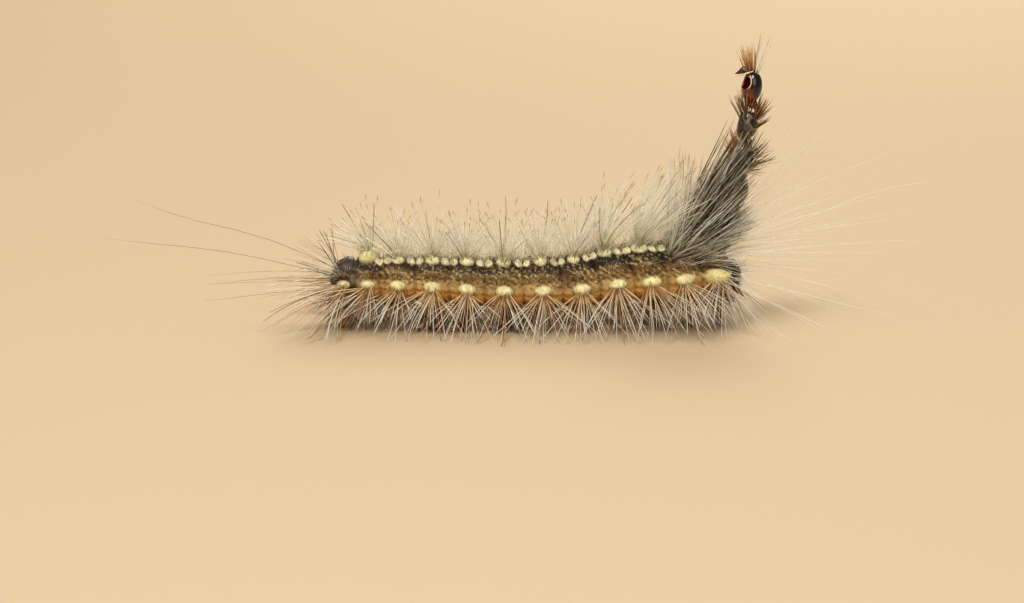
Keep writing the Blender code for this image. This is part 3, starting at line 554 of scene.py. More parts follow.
def plate(s_range, half_angle, lift, tone, rows=34, columns=40):
    """A hard plate over the back, thick in the middle, whose edge sinks into the skin."""
    centre, half_length = sum(s_range) / 2, (s_range[1] - s_range[0]) / 2
    s = np.linspace(*s_range, rows)[:, None]
    theta = np.linspace(-1, 1, columns)[None, :] * math.radians(half_angle)
    s, theta = np.broadcast_arrays(s, theta)
    along, across = (s - centre) / half_length, theta / math.radians(half_angle)
    s = centre + (s - centre) * (1 - 0.42 * across**2)
    edge = np.clip(1 - np.maximum(np.abs(along), np.abs(across)) ** 6, 0, 1) ** 0.5
    base = surface(s, theta, bare=True)
    top = base + outward(theta) * (lift * (edge - 0.35) + 0.006 * noise(base, 0.3, 41))[..., None]
    under = base - outward(theta) * (lift * 0.6)
    count = rows * columns
    faces = grid_faces(rows, columns, wrap=False)
    faces += [tuple(count + i for i in face)[::-1] for face in faces]
    grid = np.arange(count).reshape(rows, columns)
    rim = np.concatenate((grid[0], grid[1:, -1], grid[-1, -2::-1], grid[-2:0:-1, 0]))
    onward = np.roll(rim, -1)
    faces += np.stack((onward, rim, count + rim, count + onward), -1).tolist()
    points = np.concatenate((top.reshape(-1, 3), under.reshape(-1, 3)))
    grain = 1 + 0.12 * noise(points, 0.25, 42)
    shape = Shape()
    shape.add(points, faces, np.clip(grain, 0.5, 1.6)[:, None] * tone)
    return shape


def build_plates():
    make_piece("anal_plate", plate((-0.06, 1.16), 66, 0.13, rgb(0x463D37)), PLATE)
    make_piece("prothorax_plate", plate((18.58, 19.40), 27, 0.07, rgb(0x2E2016)), PLATE)


SPIRACLE_RINGS = (  # reach, lift and colour from the outer edge to the slit
    (0.095, -0.03, 0x96784C), (0.095, 0.015, 0xB09664), (0.075, 0.03, 0xBEA674),
    (0.055, 0.012, 0x3C281A), (0.03, -0.01, 0x140D09),
)


def build_spiracles():
    """Breathing holes above the side warts: a pale ring round a dark slit."""
    shape = Shape()
    turns = circle(16)[:, None]
    tones = np.array([[rgb(tone)] * len(turns) for _, _, tone in SPIRACLE_RINGS])
    for name in ("prothorax", *(f"abdomen_{n}" for n in range(1, 9))):
        for side in (1, -1):
            theta = side * math.radians(84)
            centre = surface(middle(name) - 0.30, theta, bare=True)
            out = outward(theta)
            around = np.cos(turns) * (0.62, 0, 0) + np.sin(turns) * (0, out[2], -out[1])
            rings = np.array([centre + out * lift + reach * around for reach, lift, _ in SPIRACLE_RINGS])
            shape.rings(rings[:, ::side], tones)
    make_piece("spiracles", shape, PLATE)


# Head and shed heads

def head_form(unit):
    """A larva's head from points of a unit ball: two lobes above, narrowing below, with its sutures."""
    x, y, z = np.moveaxis(unit, -1, 0)
    cleft = 0.13 * bell(y, 0.3) * np.maximum(z, 0)
    narrow = 1 - 0.26 * np.maximum(-z, 0) ** 1.5
    front = ease(-0.1, 0.3, x)
    seam = 0.035 * bell(y, 0.035) * ease(0.05, 0.2, z)
    slope = 0.36 * np.clip((0.30 - z) / 0.9, 0, 1)
    frons = 0.022 * bell(np.abs(y) - slope, 0.03) * ease(0.34, 0.26, z) * ease(-0.66, -0.58, z) * front
    lip = 0.03 * bell(z + 0.64, 0.035) * bell(y, 0.5) * front
    cut = (1 - seam - frons - lip)[..., None]
    return np.stack((x * narrow * (1 - cleft), y * narrow, z * (1 - cleft)), -1) * cut


def capsule_rings(tall, wide, wall, rows=74, columns=88, tip=0.0):
    """Unit points, scale and part of a shell with a hole at the back: outside (0) from the front, the rim
    (1), then inside (2). tall and wide are half the hole's height and width and tip turns it upwards, all
    in degrees."""
    turns = circle(columns)
    hole = np.radians(1 / np.hypot(np.sin(turns) / wide, np.cos(turns) / tall))
    share = np.linspace(0, 1, rows)[:, None]
    bend = (math.pi - 0.03) * (1 - share) + hole * share
    rim = np.array((0.0, -0.012, -0.018, -0.012, 0.0))[:, None]
    inside = bend[::-2]
    polar = np.concatenate((bend, hole + rim, inside))
    scale = np.concatenate((np.ones(rows), 1 - wall * np.array((0.1, 0.3, 0.5, 0.7, 0.9)),
                            np.full(len(inside), 1 - wall)))
    unit = np.stack((-np.cos(polar), np.sin(polar) * np.sin(turns), np.sin(polar) * np.cos(turns)), -1)
    part = np.concatenate((np.zeros(rows), np.ones(5), np.full(len(inside), 2)))
    return turned(unit, tip), scale, part


class Head:
    """Place of one head: unit points of its form to mm."""

    def __init__(self, centre, radii, lean, yaw=0.0):
        self.centre, self.radii, self.lean, self.yaw = np.array(centre), np.array(radii), lean, yaw

    def place(self, unit):
        return self.centre + turned(np.asarray(unit, float) * self.radii, self.lean, self.yaw)

    def direct(self, vector):
        return turned(normal_of(np.asarray(vector, float)), self.lean, self.yaw)


LIVING_HEAD = Head((19.66, 0.0, 2.42), (0.76, 0.96, 1.04), 6)
SHED_HEADS = [Head((s, 0, z), (depth / 2, width / 2, height / 2), lean, yaw)
              for (s, z), height, depth, width, lean, yaw in SHED_SIZES]


def egg(shape, head, centre, radii, tone, rows=14, columns=18, aim=None):
    """A small closed ellipsoid at a unit place of a head, with radii in mm."""
    bend, turns = np.linspace(0.06, math.pi - 0.06, rows)[:, None], circle(columns)[None, :]
    ball = np.stack((np.sin(bend) * np.cos(turns), np.sin(bend) * np.sin(turns),
                     -np.cos(bend) + 0 * turns), -1) * radii
    if aim is not None:
        ball = ball @ np.array(Vector((0, 0, 1)).rotation_difference(Vector(aim)).to_matrix()).T
    shape.rings(head.place(centre) + turned(ball, head.lean, head.yaw), tone)


PALP_KNOTS = ((0, 1), (0.4, 0.9), (0.46, 0.66), (0.7, 0.6), (0.76, 0.4), (1, 0.2))
FEELER_KNOTS = ((0, 1.05), (0.28, 0.95), (0.34, 0.98), (0.37, 0.62), (0.70, 0.60), (0.74, 0.34),
                (0.96, 0.28), (1, 0.05))


def mouthparts(shape, head, dark, pale):
    """Upper lip, jaws, palps and silk tube at the lower front of a head."""
    def lump(place, shares, tone):
        egg(shape, head, place, head.radii * shares, tone)

    lump((0.55, 0, -0.84), (0.20, 0.34, 0.16), pale)
    for side in (-1, 1):
        lump((0.50, side * 0.20, -0.98), (0.24, 0.20, 0.22), dark)
        lump((0.08, side * 0.34, -0.98), (0.20, 0.15, 0.17), pale)
        palp = (0.16, side * 0.36, -1.02), (0.34, side * 0.38, -1.16), (0.46, side * 0.34, -1.24)
        shape.tube(head.place(palp), PALP_KNOTS, head.radii[0] * 0.11, pale, 12, 10)
    lump((0.12, 0, -1.03), (0.22, 0.16, 0.14), pale)
    silk = (0.20, 0, -1.08), (0.34, 0, -1.26)
    shape.tube(head.place(silk), ((0, 0.07), (1, 0.025)), head.radii[0], dark, 6, 8)


def antenna(head, side, length, radius, tone):
    """A short feeler of three joints with a bristle at its end."""
    shape = Shape()
    root = head.place(normal_of(np.array((0.62, side * 0.66, -0.42))) * 0.96)
    aim = head.direct((0.72, side * 0.5, -0.5)) * length
    shape.tube((root, root + aim), FEELER_KNOTS, radius, tone, 26, 14)
    bristle = root + aim * 0.92, root + aim * 1.45 + (0, 0, 0.02)
    shape.tube(bristle, ((0, 0.016), (1, 0.003)), 1, tone * 0.6, 6, 5)
    return shape


def build_head():
    unit, scale, _ = capsule_rings(16, 16, 0.06, 90, 112)
    points = LIVING_HEAD.place(head_form(unit) * scale[:, None, None])
    mottle = ease(0.2, 1.1, noise(points, 0.22, 51, 20))
    tones = mix(rgb(0x1E140F), rgb(0x4E3422), 0.6 * mottle * ease(-0.5, 0.1, unit[..., 2]))
    shape, eyes = Shape(), Shape()
    shape.rings(points, tones)
    mouthparts(shape, LIVING_HEAD, rgb(0x22140E), rgb(0x5C3E28))
    make_piece("head_capsule", shape, HEAD_SHELL, ["head"])
    for side in (-1, 1):
        for angle in np.radians(np.linspace(-64, 16, 6)):
            x, z = 0.52 + 0.20 * math.cos(angle), -0.42 + 0.24 * math.sin(angle)
            spot = np.array((x, side * math.sqrt(1 - x**2 - z**2), z))
            egg(eyes, LIVING_HEAD, head_form(spot), (0.062, 0.062, 0.045), rgb(0x0C0908), aim=spot)
    make_piece("stemmata", eyes, EYE)
    for side, word in BOTH_SIDES:
        feeler = antenna(LIVING_HEAD, side, 0.62, 0.13, rgb(0x705032))
        make_piece(f"feeler_{word}", feeler, LEG_SHELL, [f"antenna_{word}"])


SHED_TONES = (  # upper front, lower part and depth of mottling of each shed head from the oldest
    (rgb(0x140A07), rgb(0x883E1C), 0.5),
    (rgb(0x4E463C), rgb(0x42362A), 1.0),
    (rgb(0x322921), rgb(0x48301E), 0.8),
    (rgb(0x18110C), rgb(0x3C2214), 0.5),
    (rgb(0x1E150F), rgb(0x382418), 0.5),
)
TORN_NECK = (  # points from the middle of the oldest shed head, width, flatness and colour
    (((-0.02, -0.18, 0.84), (-0.40, -0.24, 0.88), (-0.84, -0.20, 0.70)), 0.08, 2.2, rgb(0x3E281C)),
    (((0.04, -0.30, 0.84), (-0.38, -0.36, 0.73), (-0.86, -0.30, 0.56)), 0.04, 0.9, rgb(0xECD0B4)),
    (((-0.04, 0.16, 0.84), (-0.34, 0.22, 0.93), (-0.60, 0.18, 0.88)), 0.07, 1.8, rgb(0x462C1E)),
)
TORN_KNOTS = ((0, 0.7), (0.4, 1.0), (0.8, 0.5), (1, 0.06))


def shed_colour(oldest, head, points, unit, part, upper, lower, mottling):
    """Colour of a shed head: mottled outside, red inside, with a paler rim round the hole; on the oldest, a
    pale pink edge at the top of the hole's near side is partly the shell's thin edge and partly a painted
    highlight.
    """
    wavy = unit[..., 2] + 0.12 * noise(points, 0.4, 52)
    forward, sideways, _ = np.moveaxis(turned(unit, 0, head.yaw), -1, 0)
    _, rim, inside = (np.broadcast_to((part == k)[:, None], wavy.shape) for k in range(3))
    mottle = upper * 0.25, mottling * ease(-0.1, 0.5, noise(points, 0.17, 53, 24))
    if oldest:
        low = ease(0.05, -0.75, wavy + 0.8 * forward)
        # Pale pink edge at the upper near side of the hole: partly the shell's thin rim, and partly a
        # painted highlight where the light falls.
        edge = ease(0.935, 0.96, np.arange(len(part)) / (part == 0).sum())[:, None] * ~inside
        edge = edge * ease(0.15, -0.25, sideways) * ease(-0.12, 0.12, unit[..., 2])
        layers = (
            (rgb(0x541A0C), 0.75 * ease(-0.2, 0.8, noise(points, 0.25, 54, 20)) * low),
            (rgb(0x601A0C), 0.8 * ease(-0.45, -0.9, wavy)),
            mottle, (rgb(0x601A0E), rim), (rgb(0xF0CCB8), 0.95 * edge),
        )
    else:
        low = ease(0.10, -0.55, wavy + 0.35 * forward)
        seams = ease(0.24, 0.04, np.abs(noise(points, 0.36, 55, 24)))
        layers = mottle, (rgb(0x96886C), 0.6 * mottling ** 2 * seams), (rgb(0x785C46), 0.95 * rim)
    return painted(mix(upper, lower, low), *layers, (rgb(0x8C180C), 0.95 * inside))


def build_shed_heads():
    for number, (head, tones) in enumerate(zip(SHED_HEADS, SHED_TONES), 1):
        oldest = number == 1
        unit, scale, part = capsule_rings(30, 50, 0.15, tip=20) if oldest else capsule_rings(38, 38, 0.09)
        points = head.place(head_form(unit) * scale[:, None, None])
        shape = Shape()
        shape.rings(points, shed_colour(oldest, head, points, unit, part, *tones))
        lower = tones[1]
        mouthparts(shape, head, lower * 0.6, lower)
        if oldest:
            for curve, width, flat, tone in TORN_NECK:
                shape.tube(head.centre + np.array(curve), TORN_KNOTS, width, tone, 14, 12, flat)
        make_piece(f"shed_shell_{number}", shape, SHED_SHELL, [f"shed_head_{number}"])


# Legs

LEG_OFFSET = 0.52
LEG_PATH = (  # s from the hip, y, height as a share of the hip's, and height added
    (0, 0.46, 1, 0.36), (0.02, 0.62, 0.92, 0), (0.10, 0.80, 0.68, 0), (0.20, 0.87, 0.38, 0),
    (0.28, 0.82, 0.16, 0), (0.42, 0.76, 0, 0.03),
)
LEG_KNOTS = (  # share of the length and radius
    (0, 0.33), (0.12, 0.33), (0.25, 0.27), (0.29, 0.22), (0.33, 0.27), (0.47, 0.24), (0.52, 0.16),
    (0.56, 0.20), (0.68, 0.17), (0.72, 0.10), (0.76, 0.13), (0.86, 0.11), (0.90, 0.055), (0.95, 0.04),
    (1, 0.008),
)
HOOK = ((-0.05, 0), (0.05, -0.03), (0.06, -0.08), (0.01, -0.10))  # reach and rise along a hook


def build_legs():
    """Jointed legs with a curved claw."""
    tones = mix(rgb(0x845C36), rgb(0x382216), ease(0.3, 0.95, np.linspace(0, 1, 60)))
    for number, name in enumerate(LEG_SEGMENTS, 1):
        s = middle(name) + (0.1 if name == "prothorax" else 0)
        hip = at(AXIS_KNOTS, s) - math.sqrt(at(RADIUS_KNOTS, s)**2 - LEG_OFFSET**2) - 0.25
        for side, word in BOTH_SIDES:
            shape = Shape()
            path = [(s + along, side * y, hip * share + rise) for along, y, share, rise in LEG_PATH]
            shape.tube(path, LEG_KNOTS, 1, tones[:, None], 60, 18)
            leg = f"leg_{number}_{word}"
            make_piece(f"true_{leg}", shape, LEG_SHELL, [leg])


def build_crochets():
    """Rows of small hooks along the inner edge of each sole."""
    shape = Shape()
    for _, y, sole, radius in feet():
        for turn in np.radians(np.linspace(-62, 62, 15)):
            out = np.array((math.sin(turn), -math.copysign(math.cos(turn), y), 0))
            spot = (sole, y * 1.08, 0.12) + out * radius * (0.78, 0.72, 0)
            hook = [spot + out * reach + (0, 0, rise) for reach, rise in HOOK]
            shape.tube(hook, ((0, 0.020), (1, 0.005)), 1, rgb(0x462A18), 9, 6)
    make_piece("crochets", shape, LEG_SHELL)


# Hair

STATIONS = np.array((0, 0.16, 0.33, 0.50, 0.66, 0.80, 0.93, 1.0))  # shares of a hair's length
TONE_STOPS = (0.0, 0.42, 0.80, 0.90)
SIDES = 3
THIN_TIP = (0.18, 1.6)  # share of a hair's width left at the tip, and how late it thins
BLUNT_TIP = (0.50, 6.0)
STOUT_TIP = (0.4, 4.0)
PATCH = 0.003  # size of one hair's patch in the OFBake map
FLOOR_ROOM, FLOOR_BEND = 0.03, 0.13  # lowest height of a hair, and of the layer above it where hairs bend
SHELL_ROOM = 0.05  # between hairs and heads
ROOT_DEPTH, WART_ROOT_DEPTH = 0.02, 0.03
HAIR_SHAPES = ((3,), (3,), (), (3,), (), (4, 3), (2,), (), (2,))  # of each value that a coat takes


class Coat:
    """Hairs of one piece, gathered before they are made."""

    def __init__(self, seed):
        self.draw, self.groups = np.random.default_rng(seed), []

    def add(self, roots, ways, lengths, bends, widths, tones, spots, push=True, tip=THIN_TIP):
        """widths are radii at the root, tones are colours at the root, at the middle, near the end and at
        the tip, spots are places on the unwrap, and push keeps the hairs clear of the heads."""
        values = roots, normal_of(ways), lengths, bends, widths, tones, spots, push, tip
        self.groups.append([np.broadcast_to(value, (len(roots), *shape))
                            for value, shape in zip(values, HAIR_SHAPES)])

    def paths(self, roots, ways, lengths, bends, pushes):
        """Points along each hair, clear of the heads and the floor."""
        count, t = len(roots), STATIONS[None, :, None]
        path = roots[:, None] + lengths[:, None, None] * (ways[:, None] * t + bends[:, None] * t**2)
        wave = self.draw.normal(size=(count, 3)) * 0.012 * lengths[:, None]
        phase = self.draw.uniform(2.0, 5.0, count)
        path = path + wave[:, None] * (np.sin(t * phase[:, None, None] * 1.4) * t)
        path[pushes, 1:] = clear_of_heads(path[:, 1:])[pushes]
        height, layer = path[..., 2], FLOOR_ROOM + FLOOR_BEND
        bent = FLOOR_ROOM + FLOOR_BEND * np.exp((height - layer) / FLOOR_BEND)
        path[..., 2] = np.where(height < layer, bent, height)
        return path

    def make(self, name, material):
        values = map(np.concatenate, zip(*self.groups))
        roots, ways, lengths, bends, widths, tones, spots, pushes, tips = values
        path = self.paths(roots, ways, lengths, bends, pushes)
        count, last, tip = len(roots), len(STATIONS) - 1, (len(STATIONS) - 1) * SIDES
        ahead = normal_of(np.gradient(path, axis=1))
        sideways = normal_of(np.cross(ahead, normal_of(self.draw.normal(size=(count, 1, 3)))))
        other = np.cross(ahead, sideways)
        turns = circle(SIDES)[:, None]
        thick = widths[:, None] * (1 - (1 - tips[:, :1]) * STATIONS ** tips[:, 1:])
        rings = path[:, :-1, None] + thick[:, :-1, None, None] * (
            np.cos(turns) * sideways[:, :-1, None] + np.sin(turns) * other[:, :-1, None])
        points = np.concatenate((rings.reshape(count, -1, 3), path[:, -1:]), 1)
        shares = np.append(np.repeat(STATIONS[:-1], SIDES), 1.0)
        place = np.interp(shares, TONE_STOPS, range(4))
        first = np.minimum(place.astype(int), 2)
        colours = mix(tones[:, first], tones[:, first + 1], place - first)
        patch = np.stack((np.append(np.tile(np.arange(SIDES) / SIDES, last), 0.5), shares), -1) * PATCH
        ends = [(tip - SIDES + k, tip - SIDES + (k + 1) % SIDES, tip) for k in range(SIDES)]
        base = np.arange(count)[:, None, None] * (tip + 1)
        faces = []
        for kind in (grid_faces(last, SIDES), [*ends, range(SIDES)[::-1]]):
            faces += (np.array(kind) + base).reshape(-1, len(kind[0])).tolist()
        make_mesh(name, points.reshape(-1, 3), faces, colours.reshape(-1, 3), material,
                  spots=(spots[:, None] + patch).reshape(-1, 2))


def clear_of_heads(points):
    """Moves points that are inside a head or shed head out to its surface."""
    for head in (LIVING_HEAD, *SHED_HEADS):
        grown = head.radii + SHELL_ROOM
        local = turned(points - head.centre, -head.lean) / grown
        depth = np.linalg.norm(local, axis=-1, keepdims=True)
        moved = head.centre + turned(local / np.maximum(depth, 1e-6) * grown, head.lean)
        points = np.where(depth < 1, moved, points)
    return points


def skin_spots(s, theta):
    """Places of roots on the unwrap of the skin: along the body and round it."""
    theta = np.asarray(theta, float)
    return np.stack((0.02 + 0.95 * np.asarray(s, float) / BODY_LENGTH, 0.5 + 0.48 * theta / math.pi), -1)


def skin_roots(s, theta):
    """Places just under the skin, with their places on its unwrap."""
    return surface(s, theta) - outward(theta) * ROOT_DEPTH, skin_spots(s, theta)


def heading(rise, turn):
    """Unit vectors by their rise and their turn to the left from straight ahead, in radians."""
    return np.stack((np.cos(rise) * np.cos(turn), np.cos(rise) * np.sin(turn), np.sin(rise)), -1)


def wart_hairs(coat, wart, count, aim, sweep, lean, tilt, length, bend, width, palette, offset=0.0,
               gather=1.0, tip=THIN_TIP):
    """A fan of hairs out of one wart. aim is from the top, sweep towards the head, lean opens the fan
    along the body and tilt across it, all in degrees; a gather under 1 crowds the fan's middle."""
    draw = coat.draw
    aim, sweep = math.radians(aim), math.radians(sweep)
    out = outward(wart.side * aim) * math.cos(sweep) + (math.sin(sweep), 0, 0)
    along = normal_of(np.array((1.0, 0, 0)) - out * out[0])
    across = np.cross(out, along) * wart.side
    spread_out = (np.arange(count) + draw.uniform(0.1, 0.9, count)) / count * 2 - 1
    alpha = np.arctan(gather * np.tan(np.radians(lean) * spread_out))
    beta = np.radians(draw.uniform(-1, 1, count) * tilt)
    draw.shuffle(beta)
    ways = (out * np.cos(beta)[:, None] + across * np.sin(beta)[:, None]) * np.cos(alpha)[:, None]
    ways = ways + along * np.sin(alpha)[:, None]
    a = np.clip(np.sin(alpha) * 0.8 + draw.normal(0, 0.12, count), -0.85, 0.85)
    b = np.clip(-np.sin(beta) * 0.9 + offset + draw.normal(0, 0.22, count), -0.8, 0.8)
    over = np.hypot(a, b) > 0.93
    a, b = np.where(over, a * 0.7, a), np.where(over, b * 0.7, b)
    s = wart.s + a * wart.half_length
    radius = through(RADIUS_KNOTS, s)
    theta = wart.theta + wart.side * b * wart.half_width / radius
    roots = surface(s, theta) - normal_of(ways) * WART_ROOT_DEPTH
    long = length * draw.uniform(0.72, 1.12, count) * (1 - 0.10 * np.abs(spread_out))
    pull = np.array(bend) * (1, wart.side, 1) + draw.normal(0, 0.045, (count, 3))
    coat.add(roots, ways, long, pull, width * draw.uniform(0.8, 1.2, count), palette(draw, count),
             skin_spots(s, theta), tip=tip)


def palette_of(*kinds):
    """A function that draws root-to-tip colours: kinds are (share, root, middle, near the end, tip)."""
    shares = np.array([kind[0] for kind in kinds], float)
    tones = np.array([[rgb(tone) for tone in kind[1:]] for kind in kinds])

    def pick(draw, count):
        chosen = draw.choice(len(kinds), size=count, p=shares / shares.sum())
        return tones[chosen] * draw.uniform(0.85, 1.12, (count, 1, 1))
    return pick


WHITE, TIP_BROWN = 0xFFFCF2, 0x422818
DORSAL_HAIR = palette_of(
    (8, 0xF6F2BE, 0xFEFADE, 0xF6E8C4, TIP_BROWN),
    (4, 0xFAF6CC, 0xFFFDEC, 0xFFFCEE, 0xDEC8A4),
    (1, 0x8C7E58, 0x968662, 0x786042, TIP_BROWN),
)
LATERAL_HAIR = palette_of(
    (6, 0xECC88A, 0xFAE6C4, WHITE, 0xFCF8F0),
    (4, 0xD89652, 0xEEC896, 0xFAEAD2, 0xF6EAD8),
    (2, 0x965624, 0x8C5C36, 0x886444, 0x6E5238),
)
# Hair under the body: the near-black kind is painted shadow under the body, and the tan kind is the hair's
# own colour.
UNDER_HAIR_IN_PAINTED_SHADOW = palette_of(
    (4, 0x704A24, 0x3C2B19, 0x1E1710, 0x18130E),
    (2, 0xAC7638, 0x866238, 0x685036, 0x52402E),
)
FINE_HAIR = palette_of(
    (3, 0xF6F2C8, 0xFCF8E0, WHITE, 0xF0E2C8),
    (2, 0xAA986C, 0x988660, 0x806A4A, 0x5C4430),
)
TAN_HAIR = palette_of(
    (4, 0xD69E60, 0xCEA070, 0xD2B08A, 0xC4A482),
    (3, 0xECCC96, 0xF4E2C0, 0xF6EAD4, 0xECDEC8),
    (1, 0x96683C, 0x7E5E3C, 0x6E543A, 0x604A34),
)
NECK_HAIR = palette_of(
    (4, 0x8C7452, 0x968262, 0xB09E7E, 0xC4B496),
    (3, 0xCEBE96, 0xE2D4B2, 0xEEE4CA, 0xE8DEC6),
    (2, 0x463626, 0x3E3024, 0x423428, 0x544232),
)
SIDE_HAIR = palette_of(
    (3, 0x7A603C, 0x6C5434, 0x54402A, TIP_BROWN),
    (3, 0xCEB67E, 0xD6C28E, 0xD0BC8E, 0xA0845C),
)
TAIL_HAIR = palette_of(
    (4, 0x786852, 0x5C5042, 0x463A30, 0x382C24),
    (3, 0xE2D8AA, 0xD2C4A0, 0xA08C70, 0x543E2C),
    (1, 0x463A2E, 0x342A22, 0x2A221C, 0x28201A),
)
LONG_TAIL_HAIR = palette_of((1, 0x54483A, 0x3E332A, 0x3A2F26, 0x4A3C30))
HEAD_HAIR = palette_of(
    (4, 0xECE6C4, WHITE, WHITE, 0xF0E8D6),
    (1, 0xC8BC96, 0xCEC2A6, 0xC4B69C, 0xAA9880),
)
TOWER_HAIR = palette_of(
    (4, 0x4C4234, 0x241E18, 0x1A1612, 0x1E1813),
    (3, 0x8E826A, 0x7E725C, 0x685C48, 0x403426),
    (4, 0xF0EACA, 0xFAF4DA, 0xF4ECD4, 0xBEAA88),
)
DORSAL_LENGTH_KNOTS = ((0, 2.5), (5, 2.8), (11, 3.0), (13.5, 3.4), (16, 4.4), (17.6, 5.2), (19.5, 4.2))
DORSAL_AIM_KNOTS = ((0, 18), (11, 18), (14, 12), (16, 6), (17.6, 5), (19.5, 16))
SWEEP_KNOTS = ((0, -58), (2, -24), (5, -4), (12, 2), (14.5, 14), (17, 38), (19.5, 40))
LOW_SWEEP_KNOTS = ((0.5, -46), (1.8, -32), (3.3, -19), (5, -10), (8.6, -2), (12.4, 3), (14.2, 8),
                   (15.9, 17), (17.5, 14), (19.5, 12))


def warts_of(kind):
    return [wart for wart in WARTS if wart.kind == kind]


FINE_BACK_HAIRS, FINE_SIDE_HAIRS, BACK_NECK_HAIRS = 1000, 3000, 240


def build_dorsal_hair():
    """Hair of the back, without the last two pairs of warts, which carry the hair of the tower."""
    coat = Coat(61)
    for wart in warts_of("dorsal")[:-4] + warts_of("tail_dorsal"):
        s = wart.s
        aim, sweep = at(DORSAL_AIM_KNOTS, s), at(SWEEP_KNOTS, s)
        long = at(DORSAL_LENGTH_KNOTS, s)
        bend = (at(((0, -0.06), (12, 0.02), (16, 0.16)), s), 0.05, -0.06)
        strong = int(through(((1, 14), (12, 16), (15.5, 27)), s))
        open_by = at(((1, 40), (12, 40), (15.8, 28)), s)
        wart_hairs(coat, wart, strong, aim, sweep, open_by, 20, long, bend, 0.026, DORSAL_HAIR,
                   gather=0.9, tip=BLUNT_TIP)
        wart_hairs(coat, wart, strong * 4 // 5, aim, sweep, open_by + 10, 30, long * 0.85, bend, 0.012,
                   FINE_HAIR)
    for wart in warts_of("spot"):
        wart_hairs(coat, wart, 3, 24, at(SWEEP_KNOTS, wart.s), 26, 18, 1.7, (0, 0.03, -0.04),
                   0.012, DORSAL_HAIR)
    draw, count = coat.draw, FINE_BACK_HAIRS
    theta = draw.choice((-1, 1), count) * np.radians(draw.uniform(8, 42, count))
    roots, spots = skin_roots(draw.uniform(1.3, 17.6, count), theta)
    ways = outward(theta * 0.6) + draw.normal(0, 0.45, (count, 3)) * (1, 0.6, 0.4)
    long = draw.uniform(0.5, 1.8, count)
    coat.add(roots, ways, long, (0, 0, -0.05), 0.011, FINE_HAIR(draw, count), spots)
    coat.make("hair_back", HAIR)


def build_side_hair():
    """Small fans of the warts below the back, and short fine hair all over the skin."""
    coat = Coat(62)
    for wart in warts_of("subdorsal"):
        wart_hairs(coat, wart, 16, 66, at(SWEEP_KNOTS, wart.s) * 0.5, 46, 34, 1.1,
                   (0, 0.02, -0.10), 0.012, SIDE_HAIR)
    count = FINE_SIDE_HAIRS
    s = coat.draw.uniform(0.4, 19.2, count)
    theta = coat.draw.uniform(-1, 1, count) * math.radians(150)
    roots, spots = skin_roots(s, theta)
    ways = outward(theta) + (0.1, 0, -0.35) + coat.draw.normal(0, 0.4, (count, 3))
    long = coat.draw.uniform(0.22, 0.6, count)
    coat.add(roots, ways, long, (0, 0, -0.15), 0.007, SIDE_HAIR(coat.draw, count), spots)
    coat.make("hair_sides", HAIR)


def build_lateral_hair():
    """Strong pale fans of the side warts that hang to the floor, over hair of the warts below, most of it
    painted near-black as the shadow under the body.
    """
    coat = Coat(63)
    for wart in warts_of("lateral"):
        sweep = at(LOW_SWEEP_KNOTS, wart.s)
        if wart.s < 1:
            wart_hairs(coat, wart, 34, 108, -44, 40, 30, 4.4, (0, 0.02, -0.10), 0.022, TAN_HAIR,
                       offset=0.2, tip=BLUNT_TIP)
            continue
        count = int(through(((1, 22), (4, 22), (19, 25)), wart.s))
        long = 3.7 * wart_share(wart.s) ** 0.5
        open_by = at(((14, 64), (17.5, 48)), wart.s)
        wart_hairs(coat, wart, count, 112, sweep, open_by, 15, long, (0, 0.03, -0.13), 0.024,
                   LATERAL_HAIR, offset=0.35, gather=0.5, tip=STOUT_TIP)
        wart_hairs(coat, wart, count // 2, 122, sweep, 60, 18, long * 0.80, (0, 0.03, -0.09), 0.014,
                   LATERAL_HAIR, offset=0.45, gather=0.6)
    for wart in warts_of("neck"):
        wart_hairs(coat, wart, 16, 132, 0, 50, 20, 3.0, (0.04, 0.02, -0.12), 0.020, LATERAL_HAIR,
                   offset=0.3, tip=STOUT_TIP)
        wart_hairs(coat, wart, 12, 142, -6, 40, 18, 2.7, (0.04, 0.02, -0.08), 0.018, TAN_HAIR, offset=0.5)
    for wart in warts_of("subventral"):
        sweep = at(LOW_SWEEP_KNOTS, wart.s) * 0.6
        # These hairs are mostly near-black, as painted shadow under the body.
        wart_hairs(coat, wart, 84, 141, sweep, 76, 28, 1.9, (0, 0.08, 0.03), 0.022, UNDER_HAIR_IN_PAINTED_SHADOW,
                   gather=0.8)
        wart_hairs(coat, wart, 4, 124, sweep, 60, 22, 1.9, (0, 0.04, -0.02), 0.018, LATERAL_HAIR,
                   gather=0.7)
    coat.make("hair_skirt", HAIR)


def fan_of(coat, s, theta, pitch, yaw, side, toward, length, width, palette, sag=-0.08, tip=THIN_TIP):
    """Hairs of the skin at s and theta. pitch is up and yaw out to the side from straight ahead, or from
    straight back where toward is -1, in degrees."""
    roots, spots = skin_roots(s, theta)
    ways = heading(np.radians(pitch), np.radians(yaw)) * (toward, side, 1)
    bends = (0, 0, sag) + coat.draw.normal(0, 0.03, (len(s), 3))
    coat.add(roots, ways, length, bends, width, palette(coat.draw, len(s)), spots, tip=tip)


